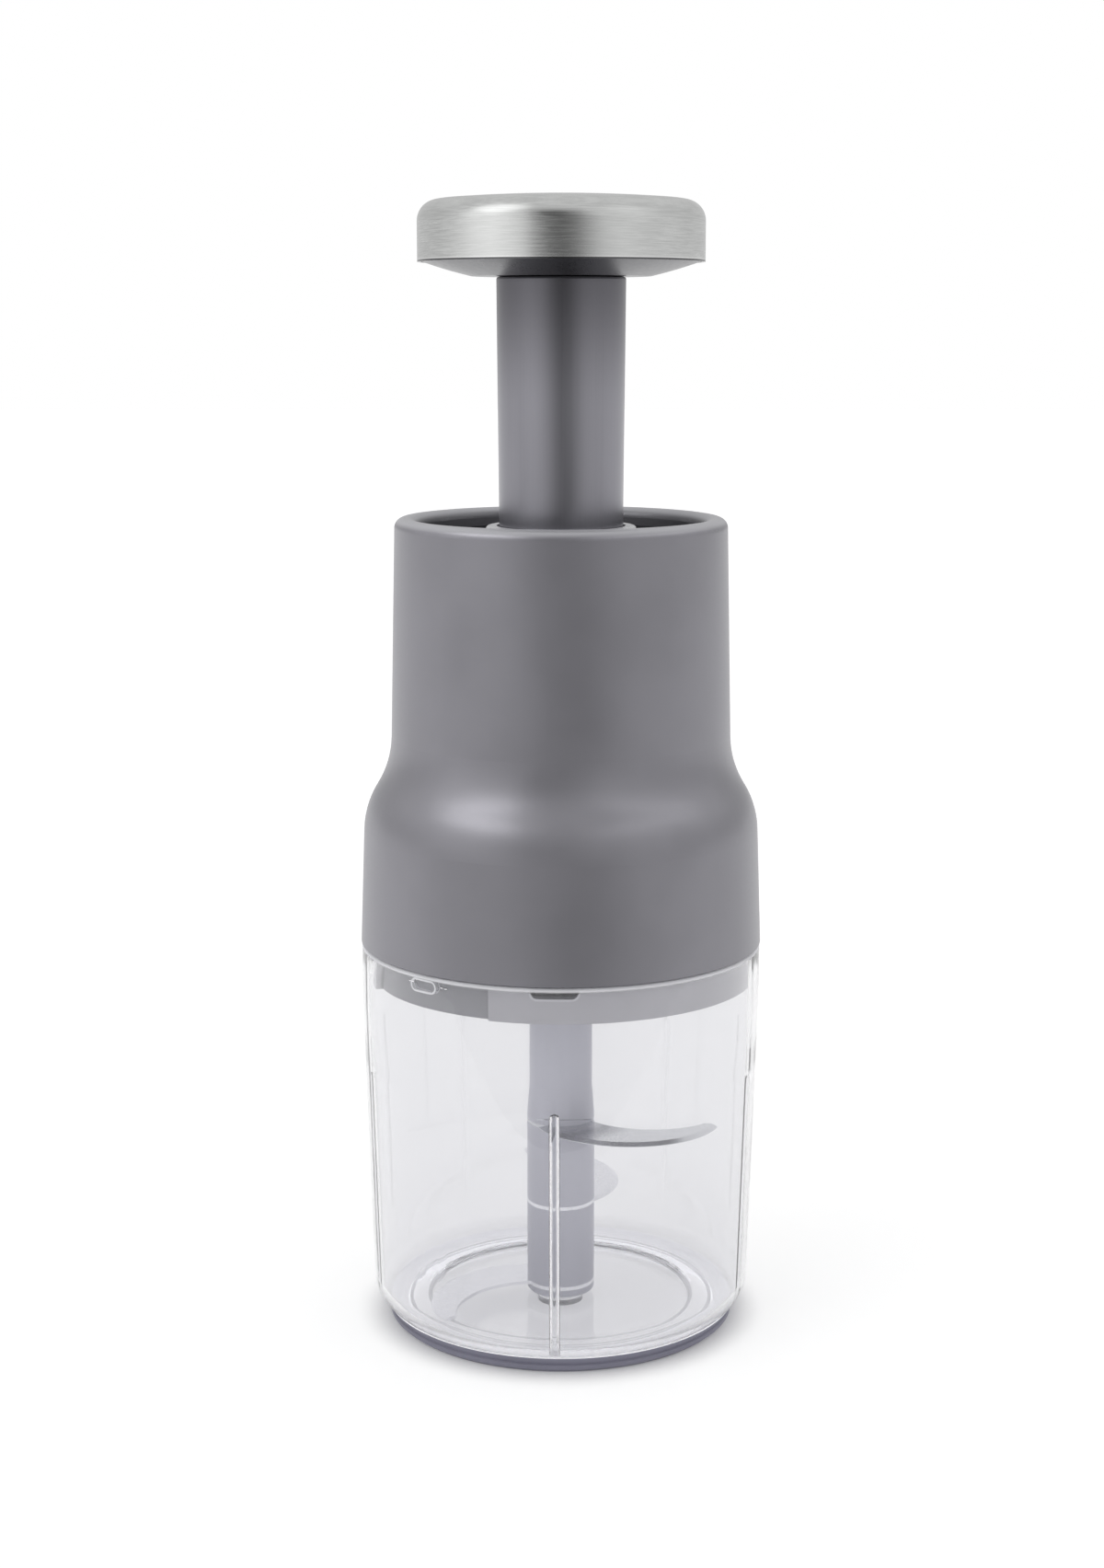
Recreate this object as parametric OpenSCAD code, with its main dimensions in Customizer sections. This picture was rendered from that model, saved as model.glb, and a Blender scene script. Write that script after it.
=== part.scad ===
// Push-down food chopper: a clear jar, a stack of three blades and a spring-loaded press head.
// Units are millimetres. The origin is the middle of the flat face that the foot stands on.

/* [Jar] */
// Outer diameter of the jar at its mouth
jar_d = 90; // [86:0.5:96]
// Taper of the jar's radius from its band to its rounded corner
jar_taper = 1.9; // [1:0.1:3]
// Height of the jar's rim above the table
jar_h = 88; // [84:1:96]
// Height of the straight band below the rim
jar_band_h = 13.4; // [11:0.2:18]
// Thickness of the jar's wall and floor
jar_wall = 1.9; // [1.6:0.1:2.2]
// Outer radius of the rounded lower corner
jar_corner_r = 8; // [7:0.5:10]
// Height of the floor's underside above the table
floor_lift = 2; // [1.6:0.1:2.6]
// Flat margin around the shallow dish in the floor
dish_edge = 4.9; // [1:0.1:8]
// Depth of the shallow dish
dish_depth = 0.4; // [0.2:0.1:0.6]
// Radius of the pin boss under the floor
pin_boss_r = 5; // [4:0.5:7]
// Drop of the pin boss below the floor
pin_boss_h = 1.4; // [1:0.1:1.5]
// Number of ribs inside the wall
rib_count = 5; // [3:1:8]
// Width of one rib
rib_w = 2.2; // [1.6:0.1:3]
// Depth of one rib
rib_depth = 1.6; // [1:0.1:2]
// Height of the ribs' rounded tops above the table
rib_top = 60; // [40:1:68]
// Turn of the first rib from the front
rib_turn = -2; // [-10:1:10]
// Length of a locking lug inside the mouth
lug_w = 5.6; // [4:0.2:8]
// Height of a locking lug
lug_h = 2.6; // [2:0.1:3.2]
// Depth of a locking lug
lug_depth = 1.1; // [0.8:0.1:1.2]
// Drop of the lug's middle below the rim
lug_drop = 2.4; // [2.2:0.1:3.4]

/* [Foot] */
// Spread of the foot beyond the jar's flat floor, where it stands
foot_reach = 3.4; // [2.8:0.1:4.2]
// Height of the foot ring
foot_h = 3.7; // [3:0.1:5]
// Height of the foot's lower band
foot_band_h = 1.7; // [1.2:0.1:2]
// Spread of the foot's lower band over its height
foot_flare = 1; // [0.6:0.1:1.4]
// Inset of the foot's inner edge from the jar's flat floor
foot_in = 0.4; // [0.3:0.1:1.2]
// Thickness of the foot's upper lip around the jar
foot_lip = 0.3; // [0.2:0.1:0.8]

/* [Blades] */
// Thickness of the blade steel
blade_t = 0.8; // [0.6:0.1:1]
// Height of the shaft's cap under the lowest blade
cap_h = 1.9; // [1.7:0.1:3]
// Rise from one blade to the next
blade_step = 19.3; // [16:0.1:20]
// Radius of the cutting edge's arc
edge_r = 21.6; // [20.4:0.1:22.2]
// Offset of the cutting arc's centre along the blade
edge_x = 14.7; // [13.5:0.1:15]
// Offset of the cutting arc's centre across the blade
edge_y = 4.9; // [4.4:0.1:5.6]
// Radius of the back edge's arc
back_r = 18; // [17:0.1:18.6]
// Offset of the back arc's centre along the blade
back_x = 18.6; // [18:0.1:19.4]
// Offset of the back arc's centre across the blade
back_y = 12.2; // [11.6:0.1:12.8]
// Height of the blade's blunt end above its middle line
blade_end = 1.6; // [0:0.1:2.4]
// Turn of the upper blade
upper_turn = -12; // [-30:1:30]
// Turn of the middle blade
middle_turn = 102; // [80:1:130]
// Turn of the lower blade
lower_turn = 223; // [200:1:250]
// Width of the ground bevel
bevel_w = 1.2; // [0.8:0.1:4]
// Thickness left at the cutting edge
edge_t = 0.15; // [0.1:0.05:0.3]

/* [Blade shaft] */
// Radius of the shaft at the blades
shaft_r = 7.7; // [7:0.1:8.2]
// Radius of the shaft above its taper
neck_r = 7.15; // [6.5:0.05:7.6]
// Rise of the taper's lower end above the upper blade
taper_rise = 1; // [0.6:0.1:6]
// Length of the taper
taper_len = 7; // [4:0.5:12]
// Width of the hexagonal core across its flats
core_af = 8; // [7:0.1:8.4]
// Width of the hexagonal driving end across its flats
drive_af = 8.8; // [8:0.1:9.2]
// Length of the hexagonal driving end
drive_len = 9.4; // [8:0.2:9.8]
// Gap between the shaft's cap and the floor
cap_gap = 0.6; // [0.5:0.1:1.2]
// Rounding of the cap's lower edge
cap_round = 0.8; // [0.5:0.1:0.9]
// Rise of the hexagonal core's lower end in the cap
core_lift = 0.8; // [0.6:0.1:1.2]
// Chamfer at the shaft's upper end
shaft_chamfer = 0.6; // [0.4:0.1:0.8]
// Chamfer at the driving end
drive_chamfer = 1; // [0.6:0.1:1.4]
// Radius of the pivot pin
pin_r = 1.5; // [1.2:0.1:2]
// Height of the pivot pin above the floor
pin_len = 19.8; // [14:0.1:24]
// Depth of the pin in its boss
pin_root = 2.8; // [2.4:0.1:2.9]

/* [Housing] */
// Overhang of the housing's lower edge beyond the jar
head_over = 0.1; // [0:0.1:0.6]
// Width of the housing's rim
rim_w = 5.1; // [4.8:0.1:6]
// Thickness of the housing's wall
housing_wall = 2.2; // [1.8:0.1:2.4]
// Height of the housing's side from its lower edge to the shoulder
shoulder_h = 25.5; // [23:0.5:28]
// Taper of the housing's radius up to the shoulder
shoulder_in = 0.95; // [0.6:0.05:1.3]
// Radius of the shoulder's rounded bulge
bulge_r = 19.2; // [16:0.2:22]
// Radius of the hollow above the bulge
hollow_r = 22.2; // [18:0.2:25]
// Length of the neck above the hollow
neck_len = 48.2; // [40:0.2:60]
// Taper of the neck's radius over that length
neck_taper = 1.1; // [0.8:0.1:1.6]
// Rounding of the rim
rim_round = 2.2; // [1.2:0.1:2.4]
// Height of the solid rim
rim_h = 4; // [3:0.2:5]

/* [Lid] */
// Gap between the jar's mouth and the skirt that drops into it
skirt_gap = 0.5; // [0.3:0.1:0.8]
// Thickness of the skirt
skirt_t = 2.2; // [2:0.1:2.6]
// Drop of the skirt below the lid's plate
skirt_drop = 8.5; // [7:0.1:10]
// Thickness of the lid's plate
plate_t = 1.8; // [1.5:0.1:2]
// Gap between the jar's rim and the head
rim_gap = 0.3; // [0.2:0.1:0.5]
// Gap between a lug and the floor of its bay
bay_gap = 0.7; // [0.4:0.1:0.8]
// Turn of the bay's middle from the front
bay_turn = -45.5; // [-50:0.5:-40]
// Angle that a bay covers
bay_angle = 49; // [30:1:60]
// Turn of the lugs from the front
lug_turn = -41.5; // [-46:0.5:-36]
// Length of the release slots
slot_w = 10.4; // [8:0.2:12]
// Height of the release slots
slot_h = 2.1; // [1.5:0.1:2.5]
// Rounding of the release slots' lower corners
slot_round = 1; // [0.5:0.1:1]
// Strip of the skirt left above a release slot
slot_lip = 0.3; // [0.2:0.1:1]
// Turn of the release slots from the front
slot_turn = -2; // [-8:0.5:4]
// Rise of the rim that locates the plate in the housing
spigot_h = 4; // [3:0.5:6]
// Distance of the lid's screws from the axis
screw_ring_r = 28; // [26:0.5:32]
// Number of lid screws
screw_count = 3; // [3:1:4]
// Turn of the first lid screw from the front
screw_turn = 60; // [0:5:90]
// Radius of a lid screw's shank
screw_r = 1.4; // [1.2:0.1:1.6]
// Radius of a lid screw's head
screw_head_r = 2.8; // [2.4:0.1:3]
// Height of a lid screw's head
screw_head_h = 1.8; // [1.4:0.1:2]
// Length of a lid screw's shank
screw_len = 12; // [9:0.5:13]
// Wall of the boss around a lid screw's head
boss_wall = 1.6; // [1:0.1:2]
// Drop of the boss below the screw's head
boss_drop = 0.4; // [0.2:0.1:0.8]

/* [Drive] */
// Radius of the coupling's barrel
barrel_r = 8; // [7.4:0.1:8.4]
// Wall of the bush around the barrel
out_bush_t = 1.4; // [1:0.1:1.6]
// Wall of the tube that holds the bush
out_tube_t = 2.2; // [1.8:0.1:2.6]
// Drop of the tube below the lid's plate
out_tube_drop = 6.3; // [5:0.1:7]
// Rise of the tube above the lid's lower face
out_tube_rise = 6.7; // [6:0.1:8]
// Rise of the coupling's lower end in the tube
coupling_lift = 1; // [0.6:0.1:1.4]
// Thickness of the bush's and the rod bush's flanges
flange_t = 1; // [0.8:0.1:1.2]
// Radius of the clutch faces
clutch_r = 11.2; // [10:0.1:12]
// Inner radius of the clutch teeth
clutch_in_r = 6; // [5.5:0.1:7]
// Thickness of the coupling's flange
clutch_t = 1.9; // [1.5:0.1:2]
// Height of the clutch teeth
tooth_h = 1.6; // [1:0.1:1.8]
// Land between two clutch teeth
tooth_land = 0.2; // [0.1:0.1:0.5]
// Number of clutch teeth
tooth_count = 10; // [6:1:12]
// Depth of the recess for the driver screw's head in the coupling
recess_h = 1; // [0.6:0.1:1.6]
// Thickness of the driver's disc
driver_t = 2; // [1.6:0.1:2.2]
// Width of the rod's square end across its flats
square_af = 5; // [4.4:0.1:5]
// Radius of the driver screw's head
driver_head_r = 3.4; // [3:0.1:3.8]
// Height of the driver screw's head
driver_head_h = 1.2; // [1:0.1:1.4]
// Radius of the driver screw's shank
driver_screw_r = 1.1; // [0.9:0.1:1.3]
// Length of the driver screw's shank
driver_screw_len = 5; // [4:0.5:6]
// Radius of the spiral rod's shank
shank_r = 3.6; // [3.6:0.1:4]
// Thickness of the rod's collar on its bush
rod_collar_t = 0.7; // [0.5:0.1:1.5]
// Gap between the rod's top and the stem's web at full press
rod_gap = 1.5; // [1:0.1:3]
// Width of the twisted strip
strip_w = 10; // [9:0.1:11]
// Thickness of the twisted strip
strip_t = 3; // [2.4:0.1:3.4]
// Turns of the blades for a full press
press_turns = 1.5; // [1:0.25:2]

/* [Guide] */
// Gap between the stem and the guide tube, where the spring sits
guide_gap = 3.95; // [3.6:0.05:4.4]
// Wall of the guide tube
guide_wall = 1.8; // [1.5:0.1:2]
// Gap between the driver and the spring shelf above it
shelf_gap = 0.5; // [0.3:0.1:1.5]
// Thickness of the spring shelf
shelf_t = 2; // [1.6:0.1:2.2]
// Radius of the guide's lower flange
base_flange_r = 33; // [32.6:0.1:36]
// Radius of the guide's screw posts
post_r = 3.8; // [3.4:0.1:4.2]
// Depth of the well around the stem
well_depth = 7; // [6:0.2:8.4]
// Thickness of the well's wall and floor
well_t = 1.6; // [1.4:0.1:1.8]
// Width of the stem's key grooves
key_w = 6; // [4:0.5:8]
// Depth of the stem's key grooves
key_depth = 0.9; // [0.6:0.1:1]
// Wall of the rod bush
rod_bush_t = 4.4; // [3.4:0.1:5.4]
// Width of the rod bush's flange
rod_flange_w = 3; // [2:0.1:4]
// Width of the collar around the stem
bush_w = 2.4; // [2:0.1:2.8]
// Rounding of the collar's upper edge
bush_round = 0.8; // [0.4:0.1:1]
// Thickness of the collar's foot in the well
bush_foot_t = 1.6; // [1:0.1:2]
// Height of the collar's top below the rim
bush_drop = 1.8; // [1.4:0.1:3]
// Depth of the collar's spigot in the guide
bush_spigot_h = 1.7; // [1.4:0.1:2]

/* [Stem and spring] */
// Travel of the press
press_travel = 52.5; // [45:0.5:60]
// Gap between the stem's top and the collar at full press
press_gap = 1.1; // [0.1:0.1:2]
// Gap under the drive nut at full press
low_gap = 4.3; // [3:0.1:8]
// Radius of the stem at its shoulder
stem_r = 14.05; // [13.9:0.05:14.1]
// Gap between the stem's shoulder and the collar
stem_play = 0.15; // [0.1:0.05:0.3]
// Taper of the stem's radius from its shoulder to the collar
stem_taper = 0.4; // [0.2:0.05:0.6]
// Wall of the stem
stem_wall = 1.85; // [1.6:0.05:2.2]
// Length of the stem below its guide flange
stem_tail = 4; // [3:0.1:6]
// Chamfer at the stem's lower end
stem_chamfer = 0.3; // [0.2:0.1:0.6]
// Rounding of the stem's top
stem_round = 0.6; // [0.4:0.1:3]
// Thickness of the stem's top web
web_t = 3.8; // [3:0.1:4]
// Gap between the stem's guide flange and the guide tube
flange_play = 0.25; // [0.2:0.05:0.4]
// Thickness of the guide flange
guide_flange_t = 2.8; // [2.4:0.1:3]
// Thickness of the return buffer
buffer_t = 1.2; // [1:0.1:1.3]
// Length of the drive nut's body
nut_h = 5; // [4:0.1:5.2]
// Thickness of the drive nut's lip
nut_lip = 1.2; // [1:0.1:1.4]
// Play between the strip and the nut's slot
nut_play = 0.3; // [0.2:0.05:0.4]
// Gap between the stem and the return spring
spring_gap = 1.4; // [1:0.1:1.6]
// Diameter of the spring's wire
wire_d = 1.3; // [1.1:0.1:1.4]
// Turns of the spring
spring_turns = 7.5; // [6:0.5:7.5]

/* [Knob] */
// Radius of the knob
knob_r = 31.1; // [30:0.1:31.3]
// Gap between the knob and the housing's rim, which it sinks into
knob_gap = 0.5; // [0.4:0.1:1]
// Height of the knob's crown above the stem
knob_h = 17.3; // [16:0.1:22]
// Rise of the cap's lower edge above the stem
knob_edge = 3.1; // [2.6:0.1:3.6]
// Rounding of the cap's upper edge
knob_round = 4.5; // [3:0.1:5]
// Rise of the crown over the rounding
crown_rise = 1.1; // [0.8:0.1:2]
// Thickness of the cap's sheet steel
cap_t = 0.8; // [0.6:0.1:1]
// Thickness of the knob's convex underside
under_t = 1.4; // [1.2:0.1:1.6]
// Radius of the flat middle of the underside
under_flat_r = 19.5; // [15:0.5:22]
// Slope with which the underside leaves its flat middle, as a share of its mean slope
under_slope = 0.8; // [0:0.05:1]
// Radius of the core's hub
hub_r = 12; // [10:0.5:13]
// Thickness of the core's disc
core_t = 4; // [3.5:0.1:4.6]
// Wall of the core's ring
core_wall = 2.05; // [1.6:0.05:2.4]
// Gap between the core's disc and the cap above it
core_drop = 0.6; // [0.4:0.1:1]
// Radius of the stem's spigot in the knob
stud_r = 6; // [5:0.1:7]
// Height of the stem's spigot
stud_h = 5.5; // [4.5:0.1:6]
// Radius of the knob screw's head
knob_head_r = 3.6; // [3:0.1:4]
// Height of the knob screw's head
knob_head_h = 2.6; // [2:0.1:2.8]
// Radius of the knob screw's shank
knob_screw_r = 2; // [1.6:0.1:2.2]
// Web left in the stem under the knob screw's hole
hole_web = 0.8; // [0.6:0.1:1.2]

/* [Clearances] */
// Gap where a piece is seated
seat = 0.3; // [0.2:0.05:0.4]
// Gap of a running fit, per side
run_fit = 0.08; // [0.05:0.01:0.1]
// Gap of a tight fit, per side
tight = 0.05; // [0.03:0.01:0.1]
// Gap between faces that rest on each other
face_gap = 0.1; // [0.05:0.05:0.2]
// Room beyond the end of a shaft or screw in its hole
end_gap = 0.4; // [0.2:0.1:0.8]

/* [Hidden] */
$fn = 96;
far = 400;
front = -90;

// Reach of a cut past a face, and overlap of shapes that are joined
cut = 1;
lap = 0.1;

// Jar
jar_r = jar_d / 2;
corner_x = jar_r - jar_taper - jar_corner_r;
corner_z = floor_lift + jar_corner_r;
floor_z = floor_lift + jar_wall;
mouth_r = jar_r - jar_wall;
dish_r = corner_x - dish_edge;
lug_z = jar_h - lug_drop;
lug_count = 2;

// Foot
foot_r = corner_x + foot_reach;
foot_in_r = corner_x + foot_in;
foot_top_r = corner_x + sqrt(pow(jar_corner_r, 2) - pow(corner_z - foot_h, 2)) + foot_lip;
foot_step = 0.3;

// Head, from the lid's lower face up to the clutch and the spring shelf
head_z = jar_h + rim_gap;
plate_z = head_z + plate_t;
skirt_r = mouth_r - skirt_gap;
skirt_z = head_z - skirt_drop;
bay_r = mouth_r - lug_depth - bay_gap;
out_tube_z = head_z - out_tube_drop;
out_tube_top = head_z + out_tube_rise;
bush_bore = barrel_r + run_fit;
tube_bore = bush_bore + out_bush_t + tight;
coupling_z = out_tube_z + coupling_lift;
clutch_z = out_tube_top + flange_t + face_gap;
clutch_face = clutch_z + clutch_t;
driver_face = clutch_face + 2 * tooth_h + seat;
driver_top = driver_face + driver_t;
shelf_z = driver_top + shelf_gap;
shelf_top = shelf_z + shelf_t;
collar_z = shelf_top + flange_t + seat;
strip_z = collar_z + rod_collar_t;
rod_bush_r = shank_r + rod_bush_t;

// Blade stack, from the cap at the floor to the hexagonal end
pin_top = floor_z + pin_len;
cap_z = floor_z + cap_gap;
cap_top = cap_z + cap_h;
blade_low_z = cap_top + blade_t / 2;
blade_up_z = blade_low_z + 2 * blade_step;
core_end_z = cap_z + core_lift;
core_z = blade_up_z + blade_t / 2;
taper_z = core_z + taper_rise;
taper_top_z = taper_z + taper_len;
neck_top_z = coupling_z - seat;
hex = 2 / sqrt(3);

// Press, from the drive nut at the end of its travel up to the housing's rim
nut_z = strip_z + low_gap + press_travel;
stem_z = nut_z + nut_lip;
flange_z = stem_z + stem_tail;
buffer_z = flange_z + guide_flange_t;
bush_bottom = buffer_z + buffer_t + seat;
well_z = bush_bottom + bush_spigot_h;
housing_top = well_z + well_depth;
bush_top = housing_top - bush_drop;
stem_top = bush_top + press_travel + press_gap;
web_z = stem_top - web_t;
rod_top = web_z - press_travel - rod_gap;
twist_rate = 360 * press_turns / press_travel;

// Stem, guide and spring
stem_bore = stem_r + stem_play;
stem_low_r = stem_r - stem_taper;
stem_in_r = stem_low_r - stem_wall;
press_bore = stem_in_r - tight;
bush_r = stem_bore + bush_w;
guide_r = stem_low_r + guide_gap;
flange_r = guide_r - flange_play;
spring_r = stem_low_r + spring_gap + wire_d / 2;

// Shoulder of the housing: a bulge and a hollow, tangent to each other and to the two tapered walls
housing_r = jar_r + head_over;
rim_in_r = knob_r + knob_gap;
collar_r = rim_in_r + rim_w;
shoulder_z = head_z + shoulder_h;
shoulder_r = housing_r - shoulder_in;
lower_tilt = atan(shoulder_in / shoulder_h);
upper_tilt = atan(neck_taper / neck_len);
bulge = [shoulder_r - bulge_r * cos(lower_tilt), shoulder_z - bulge_r * sin(lower_tilt)];
down = [sin(upper_tilt), -cos(upper_tilt)];
out = [cos(upper_tilt), sin(upper_tilt)];
reach = [collar_r, housing_top] + hollow_r * out - bulge;
along = reach * down;
slide = -along - sqrt(along * along - reach * reach + pow(bulge_r + hollow_r, 2));
hollow = [collar_r, housing_top] + slide * down + hollow_r * out;
link = (hollow - bulge) / (bulge_r + hollow_r);
side = [cos(lower_tilt), sin(lower_tilt)];
spigot_r = housing_r - housing_wall - (plate_t + spigot_h) * tan(lower_tilt) - 2 * tight;

// Knob
knob_top = stem_top + knob_h;
knob_edge_z = stem_top + knob_edge;
dome_z = knob_top - crown_rise - knob_round;
crown_x = knob_r - knob_round;
crown_r = (crown_x * crown_x + crown_rise * crown_rise) / (2 * crown_rise);
under_r = knob_r - cap_t - face_gap;
under_z = stem_top + face_gap;
hub_z = under_z + under_t + face_gap;
core_r = under_r - tight;
core_top = dome_z + knob_round - cap_t - core_drop;
core_z0 = core_top - core_t;
core_edge_z = knob_edge_z + face_gap + under_t + seat;
knob_head_z = core_top - knob_head_h - face_gap;

module ring(r_out, r_in, z0, z1) {
    translate([0, 0, z0]) difference() {
        cylinder(h = z1 - z0, r = r_out);
        translate([0, 0, -cut]) cylinder(h = z1 - z0 + 2 * cut, r = r_in);
    }
}

module disc(r, z0, z1) {
    translate([0, 0, z0]) cylinder(h = z1 - z0, r = r);
}

module hexagon(af, z0, z1) {
    translate([0, 0, z0]) cylinder(h = z1 - z0, r = af * hex / 2, $fn = 6);
}

module around(count, turn = 0) {
    for (i = [0 : count - 1]) rotate([0, 0, front + turn + 360 * i / count]) children();
}

// Half outline of the jar, set in from its outer face
module jar_outline(inset, top) {
    r = jar_corner_r - inset;
    polygon([[0, corner_z - r], [corner_x, corner_z - r], [corner_x, corner_z],
        [corner_x + r, corner_z], [jar_r - inset, jar_h - jar_band_h], [jar_r - inset, top], [0, top]]);
    intersection() {
        translate([corner_x, corner_z]) circle(r = r);
        translate([corner_x, corner_z - r]) square([r, r]);
    }
}

module jar_wall_2d() {
    lip = jar_wall / 2;
    difference() {
        jar_outline(0, jar_h - lip);
        jar_outline(jar_wall, jar_h);
        translate([0, floor_z - dish_depth]) square([dish_r, dish_depth + cut]);
    }
    intersection() {
        translate([jar_r - lip, jar_h - lip]) circle(r = lip);
        translate([mouth_r, jar_h - lip]) square([jar_wall, lip]);
    }
}

module rib() {
    intersection() {
        rotate([90, 0, 90]) linear_extrude(height = jar_r) {
            translate([-rib_w / 2, 0]) square([rib_w, rib_top - rib_w / 2]);
            translate([0, rib_top - rib_w / 2]) circle(d = rib_w);
        }
        rotate_extrude() difference() {
            jar_outline(jar_wall / 2, jar_h - jar_band_h);
            jar_outline(jar_wall + rib_depth, jar_h);
            square([corner_x + cut, jar_h]);
        }
    }
}

module stadium(w, h) {
    square([w - h, h], center = true);
    for (s = [-1, 1]) translate([s * (w - h) / 2, 0]) circle(d = h);
}

module jar() {
    color([0.92, 0.94, 0.96, 0.35]) {
        difference() {
            union() {
                rotate_extrude() jar_wall_2d();
                disc(pin_boss_r, floor_lift - pin_boss_h, floor_lift + lap);
            }
            disc(pin_r + tight, floor_z - pin_root, floor_z + cut);
        }
        around(rib_count, rib_turn) rib();
        around(lug_count, lug_turn) translate([mouth_r - lug_depth, 0, lug_z]) rotate([90, 0, 90])
            linear_extrude(height = lug_depth + jar_wall / 2) stadium(lug_w, lug_h);
    }
}

module foot_ring() {
    color([0.36, 0.36, 0.42]) rotate_extrude() difference() {
        polygon([[foot_in_r, 0], [foot_r, 0], [foot_r + foot_flare, foot_band_h / 2],
            [foot_r + foot_flare, foot_band_h], [foot_r + foot_flare - foot_step, foot_band_h + foot_step],
            [foot_top_r, foot_h], [foot_in_r, foot_h]]);
        translate([corner_x, corner_z]) circle(r = jar_corner_r + tight);
    }
}

module pivot_pin() {
    color("silver") {
        disc(pin_r, floor_z - pin_root, pin_top - pin_r);
        translate([0, 0, pin_top - pin_r]) sphere(r = pin_r);
    }
}

// Sickle blade that points along +X before its turn, with its convex cutting edge towards -Y and a blunt end
module blade(z, turn) {
    color([0.78, 0.79, 0.81]) translate([0, 0, z - blade_t / 2]) difference() {
        rotate([0, 0, turn]) {
            cylinder(h = blade_t, r = shaft_r);
            intersection() {
                linear_extrude(height = blade_t) intersection() {
                    difference() {
                        translate([edge_x, edge_y]) circle(r = edge_r);
                        translate([back_x, back_y]) circle(r = back_r);
                    }
                    translate([-shaft_r, -edge_r]) square([3 * edge_r, edge_r + blade_end]);
                }
                translate([edge_x, edge_y]) rotate_extrude() polygon([[0, 0], [edge_r, 0],
                    [edge_r, edge_t], [edge_r - bevel_w, blade_t], [0, blade_t]]);
            }
        }
        hexagon(core_af + 2 * tight, -cut, blade_t + cut);
    }
}

module blade_upper() {
    blade(blade_up_z, upper_turn);
}

module blade_middle() {
    blade(blade_low_z + blade_step, middle_turn);
}

module blade_lower() {
    blade(blade_low_z, lower_turn);
}

module spacer(z0, z1) {
    color([0.52, 0.52, 0.54]) difference() {
        disc(shaft_r, z0, z1);
        hexagon(core_af + 2 * tight, z0 - cut, z1 + cut);
    }
}

module spacer_upper() {
    spacer(blade_low_z + blade_step + blade_t / 2, blade_up_z - blade_t / 2);
}

module spacer_lower() {
    spacer(blade_low_z + blade_t / 2, blade_low_z + blade_step - blade_t / 2);
}

module shaft_cap() {
    round_z = cap_z + cap_round;
    color([0.52, 0.52, 0.54]) difference() {
        union() {
            disc(shaft_r, round_z, cap_top);
            disc(shaft_r - cap_round, cap_z, cap_top);
            translate([0, 0, round_z]) rotate_extrude() translate([shaft_r - cap_round, 0])
                circle(r = cap_round);
        }
        disc(pin_r + run_fit, cap_z - cut, cap_top + cut);
        hexagon(core_af + 2 * tight, core_end_z - tight, cap_top + cut);
    }
}

module blade_shaft() {
    drive_z = neck_top_z + drive_len - drive_chamfer;
    color([0.52, 0.52, 0.54]) difference() {
        union() {
            hexagon(core_af, core_end_z, core_z + lap);
            rotate_extrude() polygon([[0, core_z], [shaft_r, core_z], [shaft_r, taper_z],
                [neck_r, taper_top_z], [neck_r, neck_top_z - shaft_chamfer],
                [neck_r - shaft_chamfer, neck_top_z], [0, neck_top_z]]);
            hexagon(drive_af, neck_top_z - lap, drive_z);
            translate([0, 0, drive_z])
                cylinder(h = drive_chamfer, r1 = drive_af / 2, r2 = drive_af / 2 - drive_chamfer);
        }
        disc(pin_r + run_fit, core_end_z - cut, pin_top + seat);
    }
}

// Face ratchet: wedge teeth in a ring, with their upright faces through the axis
module clutch_teeth() {
    pitch = clutch_in_r * sin(360 / tooth_count) - tooth_land;
    intersection() {
        ring(clutch_r, clutch_in_r, -cut, tooth_h);
        for (i = [0 : tooth_count - 1]) rotate([90, 0, 90 + 360 * i / tooth_count])
            translate([0, 0, clutch_in_r - cut]) linear_extrude(height = clutch_r)
            polygon([[0, -cut], [pitch, -cut], [pitch, -tooth_land], [0, tooth_h]]);
    }
}

module drive_coupling() {
    color([0.88, 0.88, 0.86]) difference() {
        union() {
            disc(barrel_r, coupling_z, clutch_z + lap);
            disc(clutch_r, clutch_z, clutch_face);
            translate([0, 0, clutch_face]) mirror([0, 1, 0]) clutch_teeth();
        }
        hexagon(drive_af + 2 * seat, coupling_z - cut, coupling_z + drive_len + end_gap);
        disc(driver_head_r + seat, clutch_face - recess_h, clutch_face + cut);
    }
}

module clutch_driver() {
    hole_w = square_af + 2 * tight;
    color([0.3, 0.3, 0.33]) difference() {
        union() {
            disc(clutch_r, driver_face, driver_top);
            translate([0, 0, driver_face]) mirror([0, 0, 1]) clutch_teeth();
        }
        translate([0, 0, driver_face + driver_t / 2]) cube([hole_w, hole_w, 2 * driver_t], center = true);
    }
}

module driver_screw() {
    color("silver") {
        disc(driver_head_r, driver_face - driver_head_h, driver_face);
        disc(driver_screw_r, driver_face - lap, driver_face + driver_screw_len);
    }
}

// Twisted strip, cut to the cross-section of the rod or of the nut's slot
module strip(play, z0, z1, slices) {
    h = z1 - z0;
    translate([0, 0, z0]) rotate([0, 0, -twist_rate * (z0 - strip_z)])
        linear_extrude(height = h, twist = twist_rate * h, slices = slices, segments = 10)
        square([strip_w + 2 * play, strip_t + 2 * play], center = true);
}

module spiral_rod() {
    color([0.72, 0.73, 0.75]) difference() {
        union() {
            translate([-square_af / 2, -square_af / 2, driver_face])
                cube([square_af, square_af, driver_t + lap]);
            disc(shank_r, driver_top, strip_z);
            disc(strip_w / 2, collar_z, strip_z);
            strip(0, strip_z, rod_top, 130);
        }
        disc(driver_screw_r + tight, driver_face - cut, driver_face + driver_screw_len + end_gap);
    }
}

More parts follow.
